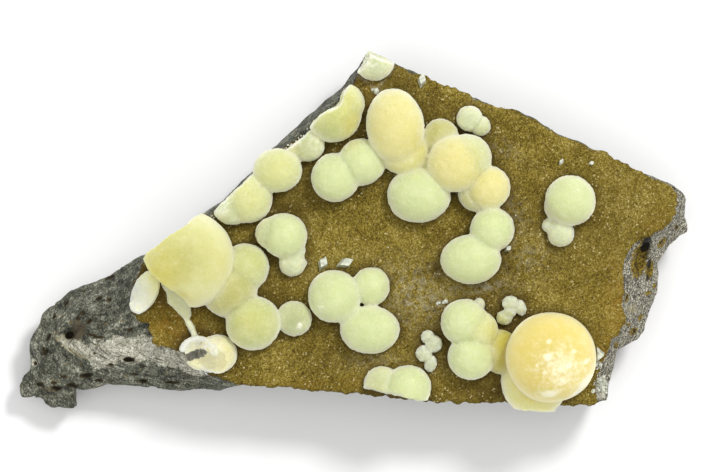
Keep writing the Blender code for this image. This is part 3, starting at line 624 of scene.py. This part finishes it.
def lining_finish():
    """Olive-brown crust of tiny crystals, some of which catch the light, with painted shade at the feet
    of the balls, in small pits and in one dark patch.
    """
    f = Finish("brown_druse")
    broad = f.noise(8.0, 3)
    patches = f.noise(2.2, 4, 0.6)
    crystals = f.cells(0.16, "Color")
    fine = f.noise(0.17, 3, 0.8)
    tone = broad * 0.35 + patches * 0.35 + crystals * 0.35 + fine * 0.65 - 0.365
    colour = f.ramp(
        tone,
        (0.2, (40, 28, 0)), (0.38, (90, 74, 4)), (0.5, (123, 106, 32)),
        (0.62, (151, 133, 58)), (0.8, (204, 189, 122)),
    )
    rust = f.attribute("rust") * f.noise(1.2, 3).between(0.2, 0.7)
    colour = f.mix(rust * 0.6, colour, (138, 98, 14))
    # Dark patches of the lining, one of them painted shade beside the lower right cluster
    deep = f.attribute("deep") * f.noise(1.6, 3).between(0.15, 0.5)
    colour = f.mix(deep * 0.6, colour, (68, 52, 0))
    haze = f.attribute("haze") * f.noise(0.8, 4, 0.65).between(0.4, 0.65)
    colour = f.mix(haze * 0.6, colour, (178, 174, 152))
    # Painted shade of small pits, as dark brown spots
    pit_shade = f.noise(1.0, 3).between(0.64, 0.72)
    colour = f.mix(pit_shade * 0.5, colour, (66, 50, 16))
    # Painted shade: the lining painted dark brown at the feet of the balls and in the gaps between them
    contact = f.attribute("contact") * f.noise(1.1, 4, 0.6).between(0.1, 0.6)
    colour = f.mix(contact, colour, (62, 46, 6))
    bright = f.noise(3.0, 3).between(0.3, 0.7)
    glints = f.cells(0.2, "Color").between(0.84, 0.9) * (0.2 + 0.8 * bright)
    colour = f.mix(glints * 0.55, colour, (226, 212, 156))
    normal = f.bumps((patches, 0.15), (fine, 0.06), (f.cells(0.2), 0.08))
    return f.finish(
        Base_Color=colour, Roughness=0.65 - glints * 0.4, Normal=normal, Specular_IOR_Level=0.2
    )


def basalt_finish():
    """Grey layered rock with specks, brown-lined bubbles, and dust on its fractures, with painted shade
    in its pockets, bubbles and tiny holes.
    """
    f = Finish("basalt")
    flow = f.attribute("flow", "Vector")
    fibres = f.noise(1.0, 4, 0.7, flow)
    lumps = f.noise(1.5, 4, 0.65)
    specks = f.noise(0.17, 4, 0.85)
    crystals = f.cells(0.15, "Color")
    grit = f.cells(0.18, "Color")
    tone = fibres * 0.5 + lumps * 0.75 + specks + grit * 0.3 - 0.79
    dark = f.ramp(
        tone,
        (0.25, (24, 24, 18)), (0.41, (66, 68, 56)), (0.54, (104, 106, 90)),
        (0.66, (148, 149, 130)), (0.8, (212, 211, 192)),
    )
    tone = crystals * 0.95 + specks * 1.1 + lumps * 0.3 - 0.7
    light = f.ramp(
        tone,
        (0.2, (48, 46, 41)), (0.38, (96, 93, 83)), (0.52, (134, 130, 116)),
        (0.66, (168, 164, 143)), (0.85, (222, 218, 196)),
    )
    colour = f.mix(f.attribute("light_rock"), dark, light)
    flakes = f.cells(0.3, "Color").between(0.88, 0.95) * lumps.between(0.35, 0.65)
    colour = f.mix(flakes * 0.45, colour, (222, 222, 206))
    brown_specks = f.noise(0.8, 4).between(0.6, 0.68) * f.noise(3.0, 2).between(0.4, 0.6)
    colour = f.mix(brown_specks * 0.7, colour, (120, 98, 46))
    ochre = f.ragged(f.attribute("ochre"), fibres, 1.4)
    layers = f.mix(f.noise(0.8, 3, 0.6, flow).between(0.35, 0.6), (104, 90, 52), (196, 190, 158))
    colour = f.mix(ochre * 0.85, colour, layers)
    dust = f.ragged(f.attribute("dust"), f.noise(1.3, 5, 0.7), 1.5)
    mottle = specks * 0.6 + f.noise(0.5, 3, 0.7, flow) * 0.55 + grit * 0.25 - 0.23
    dusty = f.ramp(
        mottle,
        (0.26, (80, 79, 70)), (0.4, (146, 144, 126)), (0.52, (206, 203, 182)), (0.66, (248, 246, 234)),
    )
    colour = f.mix(dust * 0.92, colour, dusty)
    # Painted shade in pockets: brownish grey, darker in places
    pocket = f.ragged(f.attribute("pocket"), fibres)
    inside = f.mix(specks.between(0.35, 0.7), (30, 24, 12), (96, 82, 42))
    colour = f.mix(pocket * 0.9, colour, f.mix(specks.between(0.3, 0.7), (62, 54, 38), (116, 106, 82)))
    # Painted shade of tiny gas holes: small dark dots drawn out along the layers, off the lighter rock
    small = 1 - f.cells(2.2, along=flow).between(0.1, 0.2)
    colour = f.mix(small * (1 - f.attribute("light_rock")) * 0.85, colour, (34, 30, 20))
    colour = f.mix(f.attribute("bubble").between(0.2, 0.5), colour, inside)
    # Painted shade: the deepest part of each pressed bubble painted near black
    colour = f.mix(f.attribute("bubble").between(0.55, 1.0) * 0.8, colour, (26, 20, 10))
    golden = f.mix((specks * 0.5 + grit * 0.5).between(0.3, 0.7), (48, 36, 0), (158, 134, 40))
    colour = f.mix(f.ragged(f.attribute("lined"), f.noise(0.6, 4, 0.7)), colour, golden)
    # Painted shade: the holes of the lined bubbles painted near black
    colour = f.mix(f.ragged(f.attribute("void"), specks, 0.4) * 0.9, colour, (12, 10, 6))
    normal = f.bumps((lumps, 0.35), (fibres, 0.1), (f.noise(0.45, 4, 0.75), 0.2), (specks, 0.08))
    return f.finish(Base_Color=colour, Roughness=0.8 + 0.1 * specks, Normal=normal)


def floor_finish():
    f = Finish("pale_floor")
    colour = f.mix(f.noise(60.0, 2), (243, 243, 243), (246, 246, 246))
    return f.finish(Base_Color=colour, Roughness=0.9)


# Shapes

def add_object(name, data):
    made = bpy.data.objects.new(name, data)
    bpy.context.scene.collection.objects.link(made)
    return made


def mesh_of(bm, name):
    """A mesh of bm, which is freed."""
    mesh = bpy.data.meshes.new(name)
    bm.to_mesh(mesh)
    bm.free()
    return mesh


def standing_at(x, y, z, turn, size):
    """The matrix that makes a unit shape this large, turns it and stands it there."""
    matrix = Matrix.Translation((x, y, z)) @ Matrix.Rotation(math.radians(turn), 4, "Z")
    return matrix @ Matrix.Diagonal((*size, 1))


def coordinates(mesh):
    points = np.empty(len(mesh.vertices) * 3, np.float32)
    mesh.vertices.foreach_get("co", points)
    return points.reshape(-1, 3).astype(float)


def outward(mesh):
    found = np.empty(len(mesh.vertices) * 3, np.float32)
    mesh.vertex_normals.foreach_get("vector", found)
    return found.reshape(-1, 3).astype(float)


def set_coordinates(mesh, points):
    mesh.vertices.foreach_set("co", points.astype(np.float32).ravel())
    mesh.update()


def keep_values(mesh, **named):
    for name, values in named.items():
        made = mesh.attributes.new(name, "FLOAT", "POINT")
        made.data.foreach_set("value", values.astype(np.float32))


def keep_vectors(mesh, name, kind, field, rows):
    made = mesh.attributes.new(name, kind, "POINT")
    made.data.foreach_set(field, rows.astype(np.float32).ravel())


def waves_at(points, waves, seed=0):
    """The height of a sum of noise waves at every point."""
    shift = Vector((seed * 17.3, seed * 5.1, seed * 9.7))
    total = np.zeros(len(points))
    rows = points.tolist()
    for length, height in waves:
        total += height * np.array([noise.noise(Vector(p) / length + shift) for p in rows])
    return total


def patch_distance(points, patch):
    """Distance from a patch's centre, 1 on the ellipse of its half length and half width."""
    turn = math.radians(patch.turn)
    x, y = points[:, 0] - patch.x, points[:, 1] - patch.y
    along = x * math.cos(turn) + y * math.sin(turn)
    across = y * math.cos(turn) - x * math.sin(turn)
    return np.hypot(along / patch.length, across / patch.width)


def patch_share(points, patch):
    """1 at a patch's centre, fading out at its edge."""
    return np.exp(-patch_distance(points, patch) ** 2)


def patch_values(points, group):
    """The strongest of a group of patches at every point."""
    found = np.zeros(len(points))
    for patch in group:
        found = np.maximum(found, patch.strength * patch_share(points, patch))
    return found


def pushes_at(name, points):
    """How far each point of a piece is pushed."""
    total = np.zeros(points.shape)
    for patch, right, back in PUSHES.get(name, ()):
        total += patch_share(points, patch)[:, None] * np.array((right, back, 0))
    return total


def radii_of(ball):
    return ball.radius if isinstance(ball.radius, tuple) else (ball.radius,) * 3


def offsets_from(ball, points):
    """Where the points lie against a ball, as shares of its radii."""
    turn = math.radians(ball.turn)
    moved = points - np.array((ball.x, ball.y, LINING_HEIGHT + ball.rise))
    x = moved[:, 0] * math.cos(turn) + moved[:, 1] * math.sin(turn)
    y = moved[:, 1] * math.cos(turn) - moved[:, 0] * math.sin(turn)
    return np.column_stack((x, y, moved[:, 2])) / np.array(radii_of(ball))


def nearness_to_balls(points):
    """Painted shade on the lining: 1 at the foot of a ball or in a gap between two, and 0 out in the
    open.
    """
    open_share = np.ones(len(points))
    for balls in CLUSTERS.values():
        for ball in balls:
            distance = np.hypot(*offsets_from(ball, points)[:, :2].T) - 1
            clear = np.clip(distance, 0, None) * min(radii_of(ball)[:2])
            open_share *= 1 - CONTACT_SHADE * np.exp(-clear / CONTACT_REACH)
    return 1 - open_share


def eased(values, low, high):
    """0 at low and 1 at high, eased between them."""
    share = np.clip((values - low) / (high - low), 0, 1)
    return share * share * (3 - 2 * share)


def random_size(sizes, rng):
    """From the least up to that and the spread, with large ones rarer for a higher rarity."""
    return sizes.least + sizes.spread * rng.random() ** sizes.rarity


def rebuilt(name, bm, face_size, smoothing):
    """A mesh with bm's shape as one closed skin of even small faces. bm is freed."""
    mesh = mesh_of(bm, name + "_rough")
    rough = add_object(mesh.name, mesh)
    remesh = rough.modifiers.new("Remesh", "REMESH")
    remesh.mode = "VOXEL"
    remesh.voxel_size = face_size
    smooth = rough.modifiers.new("Smooth", "SMOOTH")
    smooth.factor = 0.5
    smooth.iterations = smoothing
    graph = bpy.context.evaluated_depsgraph_get()
    made = bpy.data.meshes.new_from_object(rough.evaluated_get(graph))
    bpy.data.objects.remove(rough)
    bpy.data.meshes.remove(mesh)
    made.name = name
    return made


def roughen(mesh, waves, seed):
    """Pushes a small piece's skin in and out."""
    points = coordinates(mesh)
    relief = waves_at(points, waves, seed)
    set_coordinates(mesh, points + outward(mesh) * relief[:, None])


def place(mesh, material, slot, *nodes):
    """Puts a mesh drawn in millimetres into the frame, where it stands for the nodes."""
    mesh.transform(Matrix.Scale(MM, 4) @ Matrix.Translation(-SPECIMEN_CENTRE))
    mesh.materials.append(material)
    mesh.shade_smooth()
    piece = add_object(mesh.name, mesh)
    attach(piece, "root")
    if nodes:
        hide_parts(*nodes)


def solid_copy(node):
    """A merged bmesh copy of a node of the frame, drawn in millimetres."""
    bm = bmesh.new()
    bm.from_mesh(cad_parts[node].data)
    bmesh.ops.remove_doubles(bm, verts=bm.verts, dist=1e-6)
    matrix = Matrix.Translation(SPECIMEN_CENTRE) @ Matrix.Scale(1 / MM, 4)
    bmesh.ops.transform(bm, matrix=matrix, verts=bm.verts)
    return bm


def layer_of(points):
    """How far out from the high ground and down the slab each point lies."""
    start, end = np.array(HIGH_GROUND)
    run = end - start
    share = np.clip((points[:, :2] - start) @ run / (run @ run), 0, 1)
    across = np.linalg.norm(points[:, :2] - start - share[:, None] * run, axis=1)
    return LAYER_ACROSS * across - LAYER_FALL * points[:, 2]


def press_bubbles(points, normals, rng):
    """Presses bubbles into the rock and returns the points and how deep in one each lies."""
    depth = np.zeros(len(points))
    pressed = points.copy()
    for i in rng.choice(len(points), SMALL_BUBBLE_COUNT, replace=False):
        size = random_size(SMALL_BUBBLE_SIZES, rng)
        squash = np.array(SIDE_SQUASH if abs(normals[i][2]) < 0.6 else TOP_SQUASH)
        distance = np.linalg.norm((points - points[i]) * squash, axis=1) / size
        share = np.clip(1 - distance ** 2, 0, 1)
        deeper = share > depth
        reach = share[deeper] * size * SMALL_BUBBLE_DEPTH
        pressed[deeper] = points[deeper] - normals[i] * reach[:, None]
        depth = np.maximum(depth, share)
    above = normals[:, 2] > -0.2
    for patch in VESICLES:
        inside = np.clip(VESICLE_FULLNESS - patch_distance(points, patch) ** 2, 0, 1)
        share = np.where(above, inside, 0)
        pressed[:, 2] -= share * patch.width * VESICLE_DEPTH
        depth = np.maximum(depth, share)
    return pressed, depth


def facing_shares(normals):
    """How squarely each normal faces the slab's upper right side and its bottom side."""
    return np.clip(normals[:, :2] @ np.array((UPPER_RIGHT, BOTTOM)).T, 0, 1)


def basalt_piece():
    mesh = rebuilt("basalt_rock", solid_copy("basalt_slab"), ROCK_FACE, ROUGH_SMOOTHING)
    points = coordinates(mesh)
    normals = outward(mesh)
    ground = points[:, 2] < GROUND_REACH
    layer = layer_of(points)
    layered = eased(points[:, 0], *LAYERED_FROM)
    flow = np.column_stack(
        (layer / LAYER_THICKNESS, points[:, 0] / LAYER_LENGTH, points[:, 1] / LAYER_LENGTH)
    )
    ledge = (layer / LEDGE_SPACING + waves_at(points, LEDGE_WAVES, seed=8)) % 1.0
    relief = waves_at(points, ROCK_WAVES) * (1 - LAYERED_CALM * layered)
    relief += layered * (waves_at(flow, FLOW_WAVES, seed=7) + LEDGE_HEIGHT * (ledge - 0.5))
    facing = facing_shares(normals).max(1)
    hollow = eased(points[:, 2], *HOLLOW_BELOW) * eased(facing, *HOLLOW_FACING)
    hollow *= eased(points[:, 0], *HOLLOW_FROM)
    relief += hollow * np.minimum(waves_at(points, HOLLOW_WAVES, seed=9), 0)
    points += normals * relief[:, None]
    points += pushes_at("basalt_rock", points)
    points, bubble = press_bubbles(points, normals, np.random.default_rng(SEED))
    points[ground, 2] = np.minimum(points[ground, 2], GROUND_RELIEF)
    points[:, 2] = np.maximum(points[:, 2], 0)
    set_coordinates(mesh, points)
    upper = eased(normals[:, 2], 0.0, 0.5)
    above = eased(normals[:, 2], 0.0, 0.2)
    keep_vectors(mesh, "flow", "FLOAT_VECTOR", "vector", flow)
    keep_values(
        mesh, bubble=bubble, dust=patch_values(points, PALE_DUST) * upper,
        ochre=patch_values(points, OCHRE) * upper, pocket=patch_values(points, POCKET_SHADE) * upper,
        light_rock=np.clip(patch_values(points, LIGHT_ROCK), 0, 1),
        lined=patch_values(points, LINED_BUBBLES) * above, void=patch_values(points, VOID_SHADE) * above,
    )
    place(mesh, basalt_finish(), "basalt", "basalt_slab")


def lining_piece():
    mesh = rebuilt("brown_druse", solid_copy("brown_lining"), LINING_FACE, ROUGH_SMOOTHING)
    points = coordinates(mesh)
    normals = outward(mesh)
    upper = np.clip(normals[:, 2] * 2, 0, 1)
    fray = waves_at(points, FRAY_WAVES, seed=3)
    side = np.linalg.norm(normals[:, :2], axis=1) * (np.abs(normals[:, 2]) < 0.8)
    overhang = (facing_shares(normals) * RIM_OVERHANGS).max(1)
    points[:, :2] += normals[:, :2] * ((fray + overhang) * side)[:, None]
    points += pushes_at("brown_druse", points) * side[:, None]
    height = waves_at(points, LINING_WAVES, seed=1)
    for swelling in LINING_SWELLINGS:
        distance = patch_distance(points, swelling)
        height += swelling.strength * np.exp(-distance ** 2 * SWELLING_STEEPNESS)
    points[:, 2] += height * upper
    points[:, 2] -= np.where(normals[:, 2] < -0.3, LINING_SINK, 0)
    set_coordinates(mesh, points)
    keep_values(
        mesh, haze=patch_values(points, HAZE), rust=patch_values(points, RUST),
        deep=patch_values(points, DEEP), contact=nearness_to_balls(points),
    )
    place(mesh, lining_finish(), "lining", "brown_lining")


def break_normal(broken):
    bearing, lean = math.radians(broken.bearing), math.radians(broken.lean)
    level = math.cos(lean)
    return Vector((math.cos(bearing) * level, math.sin(bearing) * level, math.sin(lean)))


def break_point(broken):
    return Vector((broken.x, broken.y, LINING_HEIGHT + broken.rise))


def cut(bm, point, normal):
    geometry = bm.verts[:] + bm.edges[:] + bm.faces[:]
    bmesh.ops.bisect_plane(bm, geom=geometry, plane_co=point, plane_no=normal, clear_outer=True)
    bmesh.ops.holes_fill(bm, edges=[e for e in bm.edges if e.is_boundary])


def add_ball(bm, ball, divisions):
    """Adds a ball, cut at its breaks and its foot. Each is spun by an angle of its own."""
    one = bmesh.new()
    bmesh.ops.create_icosphere(one, subdivisions=divisions, radius=1)
    matrix = standing_at(ball.x, ball.y, LINING_HEIGHT + ball.rise, ball.turn, radii_of(ball))
    matrix @= Matrix.Rotation(ball.x, 4, "Z")
    bmesh.ops.transform(one, matrix=matrix, verts=one.verts)
    for broken in ball.breaks:
        cut(one, break_point(broken), break_normal(broken))
    cut(one, Vector((0, 0, LINING_HEIGHT - FOOT_DEPTH)), Vector((0, 0, -1)))
    mesh = mesh_of(one, "one_ball")
    bm.from_mesh(mesh)
    bpy.data.meshes.remove(mesh)


def ball_colours(tint, level):
    """The colours of a ball's skin, from its crown where level is 0 to its rim where it is 1, with a
    painted rim light.
    """
    crown = np.array(linear(tint.crown)) * CROWN_SHARE
    side = np.array(linear(tint.flank)) * FLANK_SHARE
    shade = crown + (level ** FADE)[:, None] * (side - crown)
    # Painted rim light: the outline of the ball painted pale
    rim = RIM_STRENGTH * tint.skin * level[:, None] ** RIM_NARROWNESS
    return shade + rim * (np.array(linear(RIM_LIGHT_COLOUR)) - shade)


def cluster_piece(name, balls, material):
    bm = bmesh.new()
    for ball in balls:
        add_ball(bm, ball, FACETED_DIVISIONS if name in FACETED_CLUSTERS else ROUND_DIVISIONS)
    small = name in SMALL_CLUSTERS
    face_size, smoothing = (SMALL_FACE, SMALL_SMOOTHING) if small else (BALL_FACE, BALL_SMOOTHING)
    mesh = rebuilt(name + "_skin", bm, face_size, smoothing)
    points = coordinates(mesh)
    tint = np.zeros((len(points), 4))
    flank = np.zeros(len(points))
    skin = np.zeros(len(points))
    crust = patch_values(points, CRUST)
    torn = np.zeros(len(points))
    weights = np.full(len(points), 1e-9)
    for ball in balls:
        offset = offsets_from(ball, points)
        distance = np.linalg.norm(offset, axis=1)
        weight = np.exp(-np.clip(distance - 1, 0, None) * min(radii_of(ball)) / BLEND)
        level = np.clip(offset[:, 0] ** 2 + offset[:, 1] ** 2, 0, 1)
        colours = TINTS[ball.tint]
        tint += weight[:, None] * ball_colours(colours, level)
        flank += weight * level * colours.skin
        skin += weight * colours.skin
        weights += weight
        for broken in ball.breaks:
            gap = (points - np.array(break_point(broken))) @ np.array(break_normal(broken))
            near = np.clip(1 + gap / CRUST_REACH, 0, 1) * (distance < 1.05)
            crust = np.maximum(crust, near * broken.crust * eased(distance, *CRUST_BAND))
            torn = np.maximum(torn, near)
    tint /= weights[:, None]
    # Painted glow and shade: patches where the calcite is painted yellower and darker
    glow_and_shade = patch_values(points, GLOW_AND_SHADE)[:, None]
    tint += glow_and_shade * (np.array(linear(GLOW_AND_SHADE_COLOUR)) - tint)
    tint = np.clip(tint, 0, LIGHTEST)
    skin /= weights
    height = waves_at(points, BALL_WAVES, seed=2) * skin + waves_at(points, BROAD_WAVES, seed=6)
    height += waves_at(points, BROKEN_WAVES, seed=5) * eased(torn, *TORN_BAND)
    set_coordinates(mesh, points + outward(mesh) * height[:, None] + pushes_at(name, points))
    keep_vectors(mesh, "tint", "FLOAT_COLOR", "color", tint)
    upper = points[:, 2] > LINING_HEIGHT + CHALK_AND_SHEEN_HEIGHT
    keep_values(
        mesh, flank=flank / weights, skin=skin, crust=crust, stain=patch_values(points, STAIN),
        chalk=np.where(upper, patch_values(points, CHALK_AND_SHEEN), 0),
    )
    place(mesh, material, SLOTS.get(name, "calcite_green"), name)


def crystal_piece(crystal, material):
    """A block whose middle is on the lining, so that its lower half is hidden."""
    bm = bmesh.new()
    bmesh.ops.create_cone(
        bm, segments=crystal.sides, radius1=CRYSTAL_FOOT, radius2=CRYSTAL_TOP, depth=2, cap_ends=True
    )
    size = (crystal.length, crystal.width, crystal.height)
    matrix = standing_at(crystal.x, crystal.y, LINING_HEIGHT, crystal.turn, size)
    matrix @= Matrix.Rotation(math.radians(CRYSTAL_LEAN), 4, "Y")
    bmesh.ops.transform(bm, matrix=matrix, verts=bm.verts)
    bmesh.ops.bevel(
        bm, geom=bm.edges[:], offset=CRYSTAL_BEVEL, segments=2, profile=0.5, affect="EDGES", material=-1
    )
    mesh = rebuilt(crystal.node + "_block", bm, CRYSTAL_FACE, ROUGH_SMOOTHING)
    roughen(mesh, CRYSTAL_WAVES, seed=crystal.turn)
    place(mesh, material, "calcite_white", crystal.node)


def add_crumb(bm, x, y, z, size, rng):
    """Adds a crumb that is turned at random and from 0.7 to 1.3 of its size each way."""
    made = bmesh.ops.create_icosphere(bm, subdivisions=1, radius=size)["verts"]
    stretch = 0.7 + 0.6 * rng.random(3)
    matrix = Matrix.Translation((x, y, z))
    matrix @= Matrix.Rotation(rng.random() * math.tau, 4, Vector(rng.random(3)))
    matrix @= Matrix.Diagonal((*stretch, 1))
    bmesh.ops.transform(bm, matrix=matrix, verts=made)


def crumbs_piece(material):
    """Loose crumbs on the lining, and the crumbled edge of the calcite, as one fine mesh."""
    rng = np.random.default_rng(SEED)
    bm = bmesh.new()
    for x, y, size in CRUMBS:
        add_crumb(bm, x, y, LINING_HEIGHT + size * CRUMB_RISE, size, rng)
    for x, y, length, width, count in CRUMB_PATCHES:
        for across, along in rng.normal(0, CRUMB_PATCH_SPREAD, (count, 2)):
            size = random_size(CRUMB_PATCH_SIZES, rng)
            add_crumb(bm, x + across * length, y + along * width, LINING_HEIGHT, size, rng)
    for path, count in ((CRUMBLED_EDGE, EDGE_CRUMB_COUNT), (CRUMBLED_END, END_CRUMB_COUNT)):
        corners = np.array(path)
        for share in np.linspace(0, len(path) - 1.001, count):
            first = int(share)
            spot = corners[first] + (corners[first + 1] - corners[first]) * (share - first)
            spot = spot + rng.normal(0, EDGE_CRUMB_SPREAD, 2)
            size = random_size(EDGE_CRUMB_SIZES, rng)
            add_crumb(bm, *spot, LINING_HEIGHT + EDGE_CRUMB_RISE * rng.random(), size, rng)
    mesh = mesh_of(bm, "calcite_crumbs")
    place(mesh, material, "calcite_white")
    mesh.shade_flat()


def sliver_piece(material):
    bm = bmesh.new()
    low = LINING_HEIGHT - FOOT_DEPTH
    face = bm.faces.new([bm.verts.new((x, y, low)) for x, y in SLIVER_OUTLINE])
    raised = bmesh.ops.extrude_face_region(bm, geom=[face])["geom"]
    for vert in raised:
        if isinstance(vert, bmesh.types.BMVert):
            vert.co.z = LINING_HEIGHT + SLIVER_HEIGHT
    bmesh.ops.recalc_face_normals(bm, faces=bm.faces)
    mesh = rebuilt("sliver_shell", bm, SMALL_FACE, SLIVER_SMOOTHING)
    roughen(mesh, SLIVER_WAVES, seed=4)
    count = len(mesh.vertices)
    keep_vectors(mesh, "tint", "FLOAT_COLOR", "color", np.tile(linear(SLIVER_COLOUR), (count, 1)))
    keep_values(mesh, **{name: np.full(count, value) for name, value in SLIVER_VALUES.items()})
    place(mesh, material, "calcite_green", "broken_sliver")


# Studio

# The point that the camera looks down on, in the drawing, how much it sees at that height, and its
# distance in metres
CAMERA_AIM = (-0.09, -0.67, 17.0)
FRAME_WIDTH = 94.9
CAMERA_DISTANCE = 0.9
SENSOR_WIDTH = 36.0

# The lights, with their places and widths in metres and their power in watts, the point that they
# all face, and the strength of the white surroundings
LIGHTS = (
    Light("key", (0.24, 0.30, 0.62), 0.14, 2.6), Light("overhead", (-0.08, -0.05, 0.75), 0.5, 1.2),
)
LIGHTS_AIM = (0, 0, 0.015)
SURROUNDINGS = 0.68
FLOOR_HALF_WIDTH = 1.5


def add_camera():
    data = bpy.data.cameras.new("camera")
    data.sensor_width = SENSOR_WIDTH
    data.lens = SENSOR_WIDTH * CAMERA_DISTANCE / (FRAME_WIDTH * MM)
    data.clip_end = 10
    camera = add_object("camera", data)
    aim = (Vector(CAMERA_AIM) - SPECIMEN_CENTRE) * MM
    camera.location = aim + Vector((0, 0, CAMERA_DISTANCE))
    bpy.context.scene.camera = camera


def add_light(light):
    data = bpy.data.lights.new(light.name, "AREA")
    data.shape = "DISK"
    data.size = light.width
    data.energy = light.power
    lamp = add_object(light.name, data)
    lamp.location = light.place
    lamp.rotation_mode = "QUATERNION"
    lamp.rotation_quaternion = (Vector(LIGHTS_AIM) - lamp.location).to_track_quat("-Z", "Y")


def add_floor():
    bm = bmesh.new()
    bmesh.ops.create_grid(bm, x_segments=2, y_segments=2, size=FLOOR_HALF_WIDTH)
    mesh = mesh_of(bm, "floor")
    mesh.materials.append(floor_finish())
    floor = add_object("floor", mesh)


def add_studio():
    add_floor()
    for light in LIGHTS:
        add_light(light)
    world = bpy.data.worlds.new("studio")
    world.use_nodes = True
    backdrop = world.node_tree.nodes["Background"]
    backdrop.inputs["Color"].default_value = (1, 1, 1, 1)
    backdrop.inputs["Strength"].default_value = SURROUNDINGS
    scene = bpy.context.scene
    scene.world = world
    scene.view_settings.view_transform = "Standard"


def main():
    basalt_piece()
    lining_piece()
    calcite = calcite_finish()
    for name, balls in CLUSTERS.items():
        cluster_piece(name, balls, calcite)
    crystal = crystal_finish()
    for one in CRYSTALS:
        crystal_piece(one, crystal)
    crumbs_piece(crystal)
    sliver_piece(calcite)
    add_camera()
    add_studio()


main()
